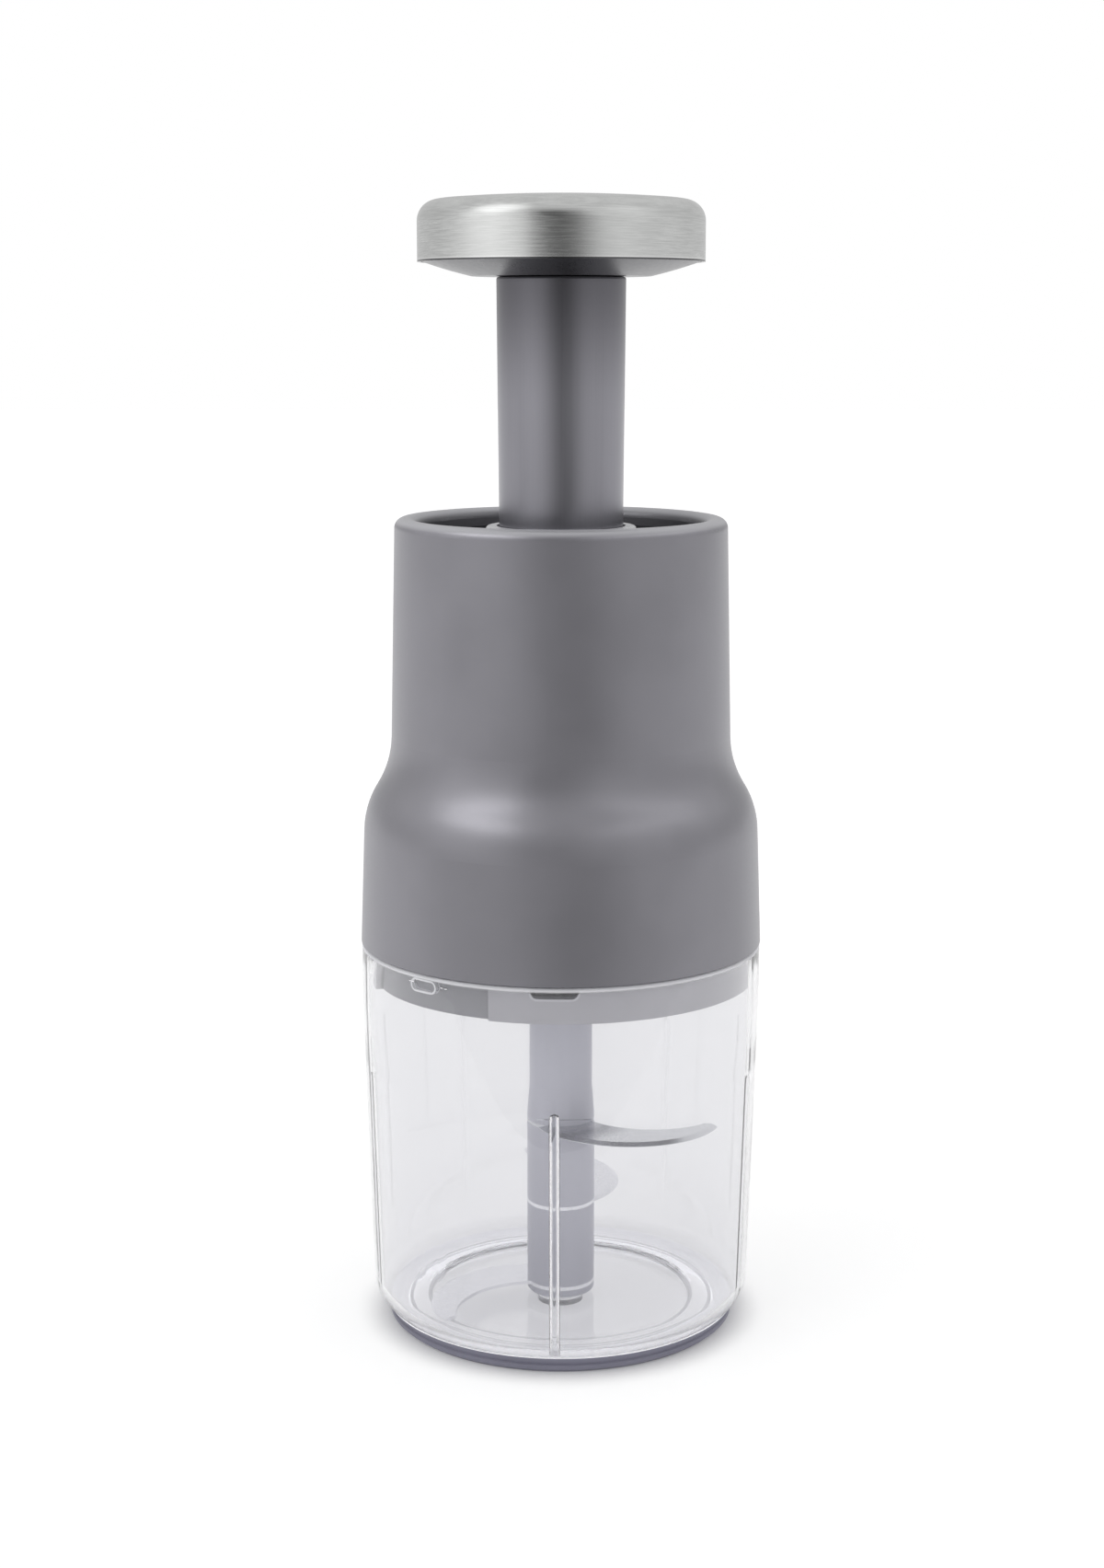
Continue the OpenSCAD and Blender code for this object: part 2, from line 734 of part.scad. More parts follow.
module drive_nut() {
    color([0.9, 0.9, 0.88]) difference() {
        union() {
            disc(stem_low_r - stem_chamfer, nut_z, stem_z);
            disc(press_bore, nut_z, stem_z + nut_h);
        }
        strip(nut_play, nut_z - cut, stem_z + nut_h + cut, 16);
    }
}

module output_bush() {
    color([0.9, 0.9, 0.88]) difference() {
        union() {
            disc(bush_bore + out_bush_t, out_tube_z + coupling_lift / 2, out_tube_top + lap);
            disc(tube_bore + out_tube_t, out_tube_top, out_tube_top + flange_t);
        }
        disc(bush_bore, out_tube_z, clutch_z);
    }
}

module rod_bush() {
    color([0.9, 0.9, 0.88]) difference() {
        union() {
            disc(rod_bush_r, shelf_z, shelf_top + lap);
            disc(rod_bush_r + rod_flange_w, shelf_top, shelf_top + flange_t);
        }
        disc(shank_r + run_fit, shelf_z - cut, strip_z);
    }
}

// Inner guide: a well around the stem, the long tube and the lower flange on its posts
module guide_sleeve() {
    tube_r = guide_r + guide_wall;
    well_r = rim_in_r + well_t;
    lip_top = housing_top - rim_h - face_gap;
    color([0.35, 0.35, 0.38]) difference() {
        union() {
            ring(well_r, rim_in_r, well_z - well_t, lip_top);
            ring(collar_r - housing_wall - tight, rim_in_r, lip_top - well_t + face_gap, lip_top);
            ring(well_r, guide_r, well_z - well_t, well_z);
            ring(tube_r, guide_r, shelf_z, well_z);
            ring(base_flange_r, rod_bush_r + tight, shelf_z, shelf_top);
            around(screw_count, screw_turn) translate([screw_ring_r, 0, plate_z])
                cylinder(h = shelf_z - plate_z + lap, r = post_r);
        }
        for (s = [0, 180]) rotate([0, 0, s]) translate([0, -key_w / 2, shelf_top])
            cube([guide_r + key_depth, key_w, far]);
        around(screw_count, screw_turn) translate([screw_ring_r, 0, head_z])
            cylinder(h = screw_len + end_gap, r = screw_r + tight);
    }
}

module guide_bush() {
    round_z = bush_top - bush_round;
    color([0.8, 0.8, 0.82]) difference() {
        union() {
            disc(guide_r - tight, bush_bottom, well_z);
            disc(guide_r + guide_wall, well_z, well_z + bush_foot_t);
            disc(bush_r, well_z, round_z);
            disc(bush_r - bush_round, well_z, bush_top);
            translate([0, 0, round_z]) rotate_extrude() translate([bush_r - bush_round, 0])
                circle(r = bush_round);
        }
        disc(stem_bore, bush_bottom - cut, bush_top + cut);
    }
}

module sector(r, angle, z0, z1) {
    translate([0, 0, z0]) rotate([0, 0, -angle / 2]) rotate_extrude(angle = angle) square([r, z1 - z0]);
}

// Slot with a flat top and two rounded lower corners
module release_slot() {
    translate([-slot_w / 2, slot_round]) square([slot_w, slot_h - slot_round]);
    translate([slot_round - slot_w / 2, 0]) square([slot_w - 2 * slot_round, slot_h]);
    for (s = [-1, 1]) translate([s * (slot_w / 2 - slot_round), slot_round]) circle(r = slot_round);
}

// Plate that closes the housing, with the skirt, its lug bays and the bearing tube
module lid_base() {
    head_r = screw_head_r + seat;
    color([0.5, 0.5, 0.52]) difference() {
        union() {
            ring(skirt_r, skirt_r - skirt_t, skirt_z, head_z + lap);
            ring(spigot_r, tube_bore, head_z, plate_z);
            ring(spigot_r, spigot_r - skirt_t, plate_z - lap, plate_z + spigot_h);
            ring(tube_bore + out_tube_t, tube_bore, out_tube_z, out_tube_top);
            around(screw_count, screw_turn) translate([screw_ring_r, 0, head_z - screw_head_h - boss_drop])
                cylinder(h = screw_head_h + boss_drop + lap, r = screw_head_r + boss_wall);
        }
        around(lug_count, bay_turn) difference() {
            sector(jar_r, bay_angle, skirt_z - cut, head_z);
            disc(bay_r, skirt_z - 2 * cut, head_z + cut);
        }
        around(lug_count, slot_turn) translate([bay_r, 0, head_z - slot_h - slot_lip])
            rotate([90, 0, 90]) linear_extrude(height = jar_r - bay_r) release_slot();
        around(screw_count, screw_turn) translate([screw_ring_r, 0, head_z - screw_head_h - cut]) {
            cylinder(h = screw_head_h + cut, r = head_r);
            cylinder(h = far, r = screw_r + seat);
        }
    }
}

module lid_screws() {
    color("silver") around(screw_count, screw_turn) translate([screw_ring_r, 0, head_z]) {
        translate([0, 0, -screw_head_h]) cylinder(h = screw_head_h, r = screw_head_r);
        translate([0, 0, -lap]) cylinder(h = screw_len + lap, r = screw_r);
    }
}

// Half outline of the housing, set in from its outer face
module housing_outline(inset, bottom) {
    p_low = [housing_r - inset, bottom];
    p_bulge = bulge + (bulge_r - inset) * side;
    p_link = bulge + (bulge_r - inset) * link;
    p_neck = hollow - (hollow_r + inset) * out;
    p_top = [collar_r - inset, housing_top - rim_round];
    polygon([[0, bottom], p_low, p_bulge, [0, p_bulge[1]]]);
    translate(bulge) circle(r = bulge_r - inset);
    neck_foot = p_neck[1] - lap / 10;
    polygon([[0, neck_foot], [p_neck[0], neck_foot], p_neck, p_top, [0, p_top[1]]]);
    difference() {
        polygon([[0, bulge[1]], [p_link[0], bulge[1]], p_link, p_neck, [0, p_neck[1]]]);
        translate(hollow) circle(r = hollow_r + inset);
    }
}

module housing() {
    rim_z = housing_top - rim_round;
    color([0.5, 0.5, 0.52]) rotate_extrude() {
        difference() {
            housing_outline(0, head_z);
            housing_outline(housing_wall, head_z - cut);
            translate([0, head_z - cut]) square([rim_in_r, far]);
        }
        translate([rim_in_r, housing_top - rim_h]) square([collar_r - rim_in_r, rim_h - rim_round]);
        intersection() {
            translate([rim_in_r, rim_z]) square([collar_r - rim_in_r, rim_round]);
            union() {
                translate([rim_in_r + rim_round, rim_z])
                    square([collar_r - rim_in_r - 2 * rim_round, rim_round]);
                for (x = [rim_in_r + rim_round, collar_r - rim_round])
                    translate([x, rim_z]) circle(r = rim_round);
            }
        }
    }
}

// Helix of round wire between the shelf and the stem's flange
module return_spring() {
    wire_r = wire_d / 2;
    sides = 8;
    steps = 18;
    count = ceil(spring_turns * steps);
    z0 = shelf_top + wire_r + face_gap;
    rise = flange_z - wire_r - face_gap - z0;
    points = [for (i = [0 : count]) for (j = [0 : sides - 1])
        let (a = 360 * spring_turns * i / count, b = 360 * j / sides, r = spring_r + wire_r * cos(b))
        [r * cos(a), r * sin(a), z0 + rise * i / count + wire_r * sin(b)]];
    skin = [for (i = [0 : count - 1]) for (j = [0 : sides - 1])
        let (a = i * sides + j, b = i * sides + (j + 1) % sides)
        each [[a, a + sides, b], [b, a + sides, b + sides]]];
    ends = [[for (j = [0 : sides - 1]) j], [for (j = [sides - 1 : -1 : 0]) count * sides + j]];
    color("silver") polyhedron(points = points, faces = concat(skin, ends));
}

// Half outline of the stem: it widens from the collar up to its rounded shoulder
module stem_outline() {
    round_z = stem_top - stem_round;
    polygon([[0, stem_z], [stem_low_r - stem_chamfer, stem_z], [stem_low_r, flange_z],
        [stem_low_r, bush_top], [stem_r, round_z], [0, round_z]]);
    translate([0, round_z - lap]) square([stem_r - stem_round, stem_round + lap]);
    translate([stem_r - stem_round, round_z]) circle(r = stem_round);
}

module stem() {
    key_in = stem_in_r + stem_wall / 2;
    color([0.5, 0.5, 0.52]) difference() {
        union() {
            rotate_extrude() stem_outline();
            disc(flange_r, flange_z, buffer_z);
            for (s = [0, 180]) rotate([0, 0, s]) translate([key_in, seat - key_w / 2, flange_z])
                cube([guide_r + key_depth - seat - key_in, key_w - 2 * seat, guide_flange_t]);
            disc(stud_r, stem_top - lap, stem_top + stud_h);
        }
        disc(stem_in_r, stem_z - cut, web_z);
        disc(knob_screw_r + tight, web_z + hole_web, stem_top + stud_h + cut);
    }
}

module return_buffer() {
    color([0.15, 0.15, 0.16])
        ring(flange_r - face_gap, stem_low_r + face_gap, buffer_z, buffer_z + buffer_t);
}

// Convex plate under the knob: flat around the stem, then rising to the cap's edge
module knob_base() {
    steps = 10;
    width = under_r - under_flat_r;
    rise = knob_edge_z + face_gap - under_z;
    belly = [for (i = [0 : steps]) let (t = i / steps)
        [under_flat_r + width * t, under_z + rise * (under_slope * t + (1 - under_slope) * t * t)]];
    upper = [for (i = [steps : -1 : 0]) belly[i] + [0, under_t]];
    hole = stud_r + face_gap;
    color([0.75, 0.75, 0.76]) rotate_extrude()
        polygon(concat([[hole, under_z]], belly, upper, [[hole, under_z + under_t]]));
}

module knob_core() {
    color([0.35, 0.35, 0.38]) difference() {
        union() {
            disc(hub_r, hub_z, core_top);
            disc(crown_x, core_z0, core_top);
            ring(core_r, core_r - core_wall, core_edge_z, dome_z);
            ring(core_r, crown_x - cut, core_z0, dome_z);
        }
        disc(stud_r + tight, hub_z - cut, stem_top + stud_h + end_gap);
        disc(knob_screw_r + seat, hub_z, far);
        disc(knob_head_r + seat, knob_head_z, far);
    }
}

module knob_screw() {
    color("silver") {
        disc(knob_head_r, knob_head_z, knob_head_z + knob_head_h);
        disc(knob_screw_r, web_z + hole_web + end_gap, knob_head_z + lap);
    }
}

// Half outline of the cap, set in from its outer face
module cap_outline(inset, bottom) {
    square_r = knob_r - inset;
    translate([0, bottom]) square([square_r, dome_z - bottom]);
    translate([crown_x, dome_z]) circle(r = knob_round - inset);
    intersection() {
        translate([0, dome_z + knob_round + crown_rise - crown_r]) circle(r = crown_r - inset);
        translate([0, dome_z - cut]) square([crown_x, far]);
    }
}

module knob_cap() {
    color([0.78, 0.79, 0.8]) rotate_extrude() difference() {
        cap_outline(0, knob_edge_z);
        cap_outline(cap_t, knob_edge_z - cut);
        translate([-far, 0]) square([far, far]);
    }
}

jar();
foot_ring();
pivot_pin();
blade_shaft();
blade_upper();
blade_middle();
blade_lower();
spacer_upper();
spacer_lower();
shaft_cap();
drive_coupling();
clutch_driver();
driver_screw();
spiral_rod();
output_bush();
rod_bush();
guide_sleeve();
guide_bush();
lid_base();
lid_screws();
housing();
return_spring();
stem();
drive_nut();
return_buffer();
knob_base();
knob_core();
knob_screw();
knob_cap();
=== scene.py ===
import math

import bmesh
import bpy
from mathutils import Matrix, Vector


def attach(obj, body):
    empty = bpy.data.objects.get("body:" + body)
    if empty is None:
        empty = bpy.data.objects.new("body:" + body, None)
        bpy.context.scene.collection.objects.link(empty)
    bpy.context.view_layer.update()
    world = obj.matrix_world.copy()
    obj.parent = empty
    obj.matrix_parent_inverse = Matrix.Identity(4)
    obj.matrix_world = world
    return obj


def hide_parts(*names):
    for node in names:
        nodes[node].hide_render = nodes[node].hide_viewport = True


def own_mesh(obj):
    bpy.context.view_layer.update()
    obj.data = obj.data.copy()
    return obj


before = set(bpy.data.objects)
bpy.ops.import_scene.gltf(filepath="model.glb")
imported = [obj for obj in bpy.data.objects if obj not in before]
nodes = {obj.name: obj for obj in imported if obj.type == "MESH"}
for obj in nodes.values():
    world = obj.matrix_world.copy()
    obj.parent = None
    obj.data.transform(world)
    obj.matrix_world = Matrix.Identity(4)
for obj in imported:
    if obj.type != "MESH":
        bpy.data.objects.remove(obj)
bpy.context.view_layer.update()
print("frame loaded:", len(nodes), "nodes")


# Shader maths: one value on its way through a material. A sum written on it adds the Math node it stands for
class Flow:
    def __init__(self, tree, socket=None):
        self.tree = tree
        self.socket = socket

    def node(self, kind, settings=None, values=None, out=0):
        family = "" if "Node" in kind else self.tree.bl_idname.replace("NodeTree", "Node")
        made = self.tree.nodes.new(family + kind)
        for name, value in (settings or {}).items():
            if name == "stops":
                spots = made.color_ramp.elements
                for place, tint in value:
                    spot = spots[0] if place == 0 else spots[-1] if place == 1 else spots.new(place)
                    spot.color = tint if hasattr(tint, "__len__") else (tint, tint, tint, 1)
            else:
                setattr(made, name, value)
        for name, value in (values or {}).items():
            if isinstance(name, int):
                socket = made.inputs[name]
            else:
                socket = next(s for s in made.inputs if name in (s.identifier, s.name))
            if isinstance(value, Flow):
                self.tree.links.new(value.socket, socket)
            elif isinstance(value, list):
                for part in value:
                    self.tree.links.new(part.socket, socket)
            else:
                socket.default_value = value
        found = [s for s in made.outputs if out in (s.identifier, s.name)]
        return Flow(self.tree, found[0] if found else made.outputs[out])

    def maths(self, operation, *parts):
        return self.node("ShaderNodeMath", {"operation": operation}, dict(enumerate(parts)))

    def __add__(self, other):
        return self.maths("ADD", self, other)

    __radd__ = __add__

    def __sub__(self, other):
        return self.maths("SUBTRACT", self, other)

    def __rsub__(self, other):
        return self.maths("SUBTRACT", other, self)

    def __mul__(self, other):
        return self.maths("MULTIPLY", self, other)

    __rmul__ = __mul__

    def __truediv__(self, other):
        return self.maths("DIVIDE", self, other)

    def __rtruediv__(self, other):
        return self.maths("DIVIDE", other, self)

    def between(self, low, high, start=0.0, end=1.0):
        return self.node("MapRange", {"interpolation_type": "SMOOTHSTEP"},
                         {"Value": self, "From Min": low, "From Max": high, "To Min": start, "To Max": end})

    def spread(self, start=0.0, end=1.0):
        # start where a noise is low, end where it is high
        return self.between(0.3, 0.7, start, end)

    def noise(self, vector, scale, detail=2.0, rough=0.5):
        return self.node("TexNoise", None, {"Vector": vector, "Scale": scale, "Detail": detail,
                                            "Roughness": rough})

    def blend(self, share, first, second):
        return self.node("Mix", {"data_type": "RGBA"}, {"Factor_Float": share, "A_Color": first,
                                                        "B_Color": second}, "Result_Color")

    def places(self):
        # x, y, z and the distance from the axis, in metres
        spot = self.node("TexCoord", None, None, "Object")
        split = self.node("SeparateXYZ", None, {"Vector": spot}).socket.node
        x, y, z = (Flow(self.tree, s) for s in split.outputs)
        return spot, x, y, z, self.maths("SQRT", x * x + y * y)

    def point(self, x, y, z):
        return self.node("CombineXYZ", None, {"X": x, "Y": y, "Z": z})

    def evenly(self, level):
        # a grey light from one number
        return self.node("CombineColor", None, {"Red": level, "Green": level, "Blue": level})


def tone(red, green, blue):
    # a colour picked on a screen, as the light it stands for
    return tuple(v / 12.92 if v <= 0.04045 else ((v + 0.055) / 1.055) ** 2.4
                 for v in (red / 255, green / 255, blue / 255)) + (1.0,)


def scaled(colour, factor):
    return tuple(min(1, c * factor) for c in colour[:3]) + (1.0,)


def grey(level):
    return (level, level, level, 1.0)


def startMaterial(name):
    made = bpy.data.materials.new(name)
    made.use_nodes = True
    made.node_tree.nodes.clear()
    return made, Flow(made.node_tree)


def endMaterial(flow, shader):
    end = flow.tree.nodes.new("ShaderNodeOutputMaterial")
    flow.tree.links.new(shader.socket, end.inputs["Surface"])


def dress(material, *names):
    for name in names:
        mesh = nodes[name].data
        mesh.materials.clear()
        mesh.materials.append(material)


# Camera: at the height of the stem's top, looking slightly down
shot = {"place": (-0.0020, -0.5458, 0.2251), "down": 10.57, "lens": 56.8, "sensor": 36.0}

eye = bpy.data.objects.new("camera", bpy.data.cameras.new("camera"))
bpy.context.scene.collection.objects.link(eye)
eye.location = shot["place"]
eye.rotation_euler = (math.radians(90 - shot["down"]), 0, 0)
eye.data.lens = shot["lens"]
eye.data.sensor_width = shot["sensor"]
eye.data.clip_start = 0.01
bpy.context.scene.camera = eye
bpy.context.scene.view_settings.view_transform = "Standard"
bpy.context.scene.view_settings.look = "None"


# Studio: a white room with a wide soft box on each side, two above, and a dark gap where the camera stands.
# The ramps give the light by the way round: nought and one lie behind the object, a half towards the camera.
# They turn a little between the light from below and from above, which is what level and shift say
studio = {
    "sides": ((0.0, 0.62), (0.20, 0.62), (0.25, 0.75), (0.30, 1.12), (0.355, 1.2), (0.40, 0.98),
              (0.425, 0.82), (0.455, 0.24), (0.48, 0.09), (0.51, 0.12), (0.54, 0.30), (0.57, 0.62),
              (0.60, 0.82), (0.65, 0.80), (0.72, 0.72), (0.80, 0.68), (1.0, 0.62)),
    "low": ((0.0, 0.66), (0.12, 0.62), (0.22, 0.64), (0.34, 0.64), (0.40, 0.58), (0.44, 0.42),
            (0.47, 0.28), (0.50, 0.17), (0.53, 0.26), (0.57, 0.58), (0.61, 0.82), (0.68, 0.88),
            (0.78, 0.84), (1.0, 0.66)),
    "lowLevel": (-0.13, -0.06), "level": (-0.035, 0.012), "shift": (0.035, -0.010),
    "ceiling": 0.74, "ceilingLevel": (0.25, 0.75),
    "boxes": ({"way": (-0.66, -0.42, 0.63), "spread": (0.90, 1.0), "power": 0.7},
              {"way": (0.77, -0.39, 0.51), "spread": (0.90, 1.0), "power": 0.15}),
    "strength": 1.0,
}


def lightStudio():
    f = studio
    world = bpy.data.worlds.new("studio")
    world.use_nodes = True
    world.node_tree.nodes.clear()
    flow = Flow(world.node_tree)
    way = flow.node("TexCoord", None, None, "Generated")
    split = flow.node("SeparateXYZ", None, {"Vector": way}).socket.node
    x, y, z = (Flow(flow.tree, s) for s in split.outputs)
    shift = z.between(*f["level"], *f["shift"])
    turn = flow.maths("ARCTAN2", x, 0 - y) / (2 * math.pi) + 0.5 - shift
    side = flow.node("ValToRGB", {"stops": f["sides"]}, {"Fac": turn})
    low = flow.node("ValToRGB", {"stops": f["low"]}, {"Fac": turn})
    side = flow.blend(z.between(*f["lowLevel"]), low, side)
    light = flow.blend(z.between(*f["ceilingLevel"]), side, grey(f["ceiling"]))
    for box in f["boxes"]:
        facing = flow.node("VectorMath", {"operation": "DOT_PRODUCT"},
                           {0: way, 1: Vector(box["way"]).normalized()}, "Value")
        glow = facing.between(*box["spread"]) * box["power"]
        light = flow.node("Mix", {"data_type": "RGBA", "blend_type": "ADD"},
                          {"Factor_Float": 1.0, "A_Color": light, "B_Color": glow}, "Result_Color")
    # the camera and what it sees through the clear jar meet plain white
    path = flow.node("LightPath").socket.node
    clear = flow.maths("MAXIMUM", Flow(flow.tree, path.outputs["Is Camera Ray"]),
                       Flow(flow.tree, path.outputs["Is Transmission Ray"]))
    shown = flow.blend(clear, light, grey(1.0))
    sky = flow.node("Background", None, {"Color": shown, "Strength": f["strength"]})
    flow.tree.links.new(sky.socket, flow.tree.nodes.new("ShaderNodeOutputWorld").inputs["Surface"])
    bpy.context.scene.world = world


lightStudio()


# Shoulder lamps: four soft boxes that only the housing sees, for the sheen on its shoulder
shoulderLamps = {
    "aim": (0.0, -0.025, 0.118), "away": 0.55,
    "lamps": {
        "left": {"way": (-0.68, -0.41, 0.63), "wide": 0.52, "high": 0.17, "power": 0.66},
        "right": {"way": (0.74, -0.40, 0.62), "wide": 0.80, "high": 0.12, "power": 0.30},
        "farLeft": {"way": (-0.93, 0.20, 0.50), "wide": 0.50, "high": 0.30, "power": 0.12},
        "farRight": {"way": (0.93, 0.20, 0.50), "wide": 0.50, "high": 0.30, "power": 0.15},
    },
}


def hangLamps():
    f = shoulderLamps
    group = bpy.data.collections.new("shoulderLit")
    group.objects.link(nodes["housing"])
    for name, box in f["lamps"].items():
        data = bpy.data.lights.new(name, "AREA")
        data.shape = "ELLIPSE"
        data.size = box["wide"]
        data.size_y = box["high"]
        data.energy = box["power"]
        lamp = bpy.data.objects.new(name, data)
        bpy.context.scene.collection.objects.link(lamp)
        way = Vector(box["way"]).normalized()
        lamp.location = Vector(f["aim"]) + way * f["away"]
        lamp.rotation_euler = way.to_track_quat("Z", "Y").to_euler()
        lamp.visible_camera = False
        lamp.light_linking.receiver_collection = group


hangLamps()
print("camera and studio set")


# Floor: a white sheet that the object stands on, with painted light under the jar and a painted shadow close
# round the foot
floorSheet = {"front": -0.17, "back": 6.0, "side": 4.0, "colour": 0.82, "rough": 0.9, "shine": 0.1,
              "glow": 0.45, "under": (0.0350, 0.0385), "dim": (0.038, 0.048), "drop": 0.33, "lift": 0.10}


def layFloor():
    f = floorSheet
    mesh = bpy.data.meshes.new("floor")
    corners = [(-f["side"], f["front"], 0), (f["side"], f["front"], 0),
               (f["side"], f["back"], 0), (-f["side"], f["back"], 0)]
    mesh.from_pydata(corners, [], [(0, 1, 2, 3)])
    sheet = bpy.data.objects.new("floor", mesh)
    bpy.context.scene.collection.objects.link(sheet)
    material, flow = startMaterial("whiteSheet")
    *_, reach = flow.places()
    # painted light lifts the glow under the jar, and a painted contact shadow lowers it in a ring round the
    # foot
    under = reach.between(*f["under"])
    glow = f["glow"] + (1 - under) * f["lift"] - under * reach.between(*f["dim"], f["drop"], 0.0)
    endMaterial(flow, flow.node("BsdfPrincipled", None, {
        "Base Color": grey(f["colour"]), "Roughness": f["rough"], "Specular IOR Level": f["shine"],
        "Emission Color": flow.evenly(glow), "Emission Strength": 1.0}))
    mesh.materials.append(material)


layFloor()


# Plastics: a moulded skin with fine grain, soft colour drift and slightly uneven gloss
mouldedSkin = {"clouds": 38, "cloudRange": (0.25, 0.75), "cloudGloss": 0.03,
               "pits": 2600, "pitGloss": 0.02, "pitDepth": 0.00004, "shine": 0.5}


def plastic(name, colour, rough, grain, drift=0.05, metal=0.0, tint=None, glow=None):
    f = mouldedSkin
    material, flow = startMaterial(name)
    spot, x, y, z, reach = flow.places()
    cloud = flow.noise(spot, f["clouds"], detail=3)
    pits = flow.noise(spot, f["pits"], detail=2, rough=0.6)
    shade = flow.blend(cloud.spread(), scaled(colour, 1 - drift), scaled(colour, 1 + drift))
    if tint:
        shade = tint(flow, shade, x, y, z, reach)
    gloss = cloud.between(*f["cloudRange"], rough - f["cloudGloss"], rough + f["cloudGloss"])
    gloss += pits.spread(-f["pitGloss"], f["pitGloss"])
    bump = flow.node("Bump", None, {"Strength": grain, "Distance": f["pitDepth"], "Height": pits})
    values = {"Base Color": shade, "Roughness": gloss, "Normal": bump, "Metallic": metal,
              "Specular IOR Level": f["shine"]}
    if glow:
        values["Emission Color"] = flow.evenly(glow(flow, x, y, z, reach))
        values["Emission Strength"] = 1.0
    endMaterial(flow, flow.node("BsdfPrincipled", None, values))
    return material


# Lid: painted shade darkens the bays of the locking lugs, and a release slot on the front and on the back is
# painted dark as shade, with a painted highlight along its lower edge
lidMarks = {"bay": (0.0414, 0.0420), "bayShadeTone": tone(165, 165, 170), "skin": (0.0405, 0.0410),
            "slotTurn": -2.0, "slotHalf": 0.0049, "slotLow": 0.0852, "slotRound": 0.0013, "soft": 0.00015,
            "slotShadeTone": tone(66, 65, 72), "slotHighlightTone": tone(236, 236, 240)}


def lidPaintedLightAndShade(flow, shade, x, y, z, reach):
    f = lidMarks
    turn = math.radians(f["slotTurn"])
    curve = f["slotRound"]
    soft = f["soft"]
    # how far from the slot's core, which is the slot less the radius of its corners
    along = flow.maths("ABSOLUTE", x * math.cos(turn) + y * math.sin(turn))
    out = flow.maths("MAXIMUM", along - (f["slotHalf"] - curve), 0.0)
    down = flow.maths("MAXIMUM", f["slotLow"] + curve - z, 0.0)
    away = flow.maths("SQRT", out * out + down * down)
    slot = away.between(curve - soft, curve + soft, 1, 0)
    edge = away.between(curve + 2 * soft, curve + 4 * soft, 1, 0) * down.between(0, soft)
    skin = reach.between(*f["skin"])
    # painted shade in the bays of the locking lugs
    shade = flow.blend(reach.between(*f["bay"], 1, 0), shade, f["bayShadeTone"])
    # a painted highlight along the slot's lower edge, then the slot itself painted dark as its shade
    shade = flow.blend(edge * skin, shade, f["slotHighlightTone"])
    return flow.blend(slot * skin, shade, f["slotShadeTone"])


# Shaft: the tone falls a little towards its foot, and a light seam stands above its cap
shaftMarks = {"fall": (0.010, 0.060), "footTone": tone(165, 165, 178), "footShare": 0.7,
              "seam": 0.0066, "seamSoft": (0.00015, 0.00045), "seamTone": tone(236, 236, 240),
              "seamShare": 0.8}


def shaftTint(flow, shade, x, y, z, reach):
    f = shaftMarks
    shade = flow.blend(z.between(*f["fall"], f["footShare"], 0), shade, f["footTone"])
    near = flow.maths("ABSOLUTE", z - f["seam"])
    return flow.blend(near.between(*f["seamSoft"], f["seamShare"], 0), shade, f["seamTone"])


# Housing: a painted highlight makes its rim lighter, and painted shade darkens it down in the well
housingMarks = {"rim": (0.1814, 0.1826), "rimHighlightTone": tone(198, 198, 202), "rimShare": 0.7,
                "well": (0.0318, 0.0324), "wellShadeTone": tone(84, 84, 88), "wellShare": 0.8}


def housingLightAndShade(flow, shade, x, y, z, reach):
    f = housingMarks
    # painted shade down in the well, then a painted highlight on the rim
    shade = flow.blend(reach.between(*f["well"], f["wellShare"], 0), shade, f["wellShadeTone"])
    return flow.blend(z.between(*f["rim"], 0, f["rimShare"]), shade, f["rimHighlightTone"])


dress(plastic("housingPlastic", tone(133, 132, 138), rough=0.36, grain=0.12, metal=0.45, tint=housingLightAndShade),
      "housing")
dress(plastic("lidPlastic", tone(208, 207, 212), rough=0.34, grain=0.06, tint=lidPaintedLightAndShade), "lid_base")
dress(plastic("shaftPlastic", tone(220, 220, 230), rough=0.32, grain=0.05, tint=shaftTint),
      "blade_shaft", "spacer_upper", "spacer_lower", "shaft_cap")
dress(plastic("guidePlastic", tone(62, 62, 66), rough=0.40, grain=0.06),
      "guide_sleeve", "knob_core", "clutch_driver")
dress(plastic("nutPlastic", tone(216, 216, 212), rough=0.38, grain=0.04),
      "drive_nut", "rod_bush", "output_bush", "drive_coupling")
dress(plastic("collarPlastic", tone(226, 226, 229), rough=0.30, grain=0.05), "guide_bush")
dress(plastic("bufferRubber", tone(40, 40, 42), rough=0.75, grain=0.2, drift=0.1), "return_buffer")


# Foot: dark outside; where it lies under the clear bottom it is painted pale and made to glow, as painted
# light
footMarks = {"outward": (0.25, 0.65), "above": (0.0016, 0.0020), "hole": (0.0372, 0.0378),
             "paintedLightTone": tone(232, 232, 237), "glow": 0.58}


def footInside(flow, x, y, z, reach):
    # the faces that don't look outward, but for the lowest band, and all that lies within the hole
    facing = flow.node("TexCoord", None, None, "Normal")
    outward = flow.node("VectorMath", {"operation": "DOT_PRODUCT"}, {
        0: facing, 1: flow.point(x / reach, y / reach, 0.0)}, "Value")
    upper = outward.between(*footMarks["outward"], 1, 0) * z.between(*footMarks["above"])
    return flow.maths("MAXIMUM", upper, reach.between(*footMarks["hole"], 1, 0))


def footPaintedLight(flow, shade, x, y, z, reach):
    # painted light: the faces under the clear bottom are made pale
    return flow.blend(footInside(flow, x, y, z, reach), shade, footMarks["paintedLightTone"])


def footPaintedGlow(flow, x, y, z, reach):
    # painted light: the same faces glow, though nothing lights them
    return footInside(flow, x, y, z, reach) * footMarks["glow"]


dress(plastic("footRubber", tone(128, 127, 143), rough=0.42, grain=0.1, drift=0.08,
              tint=footPaintedLight, glow=footPaintedGlow), "foot_ring")
print("plastics done")
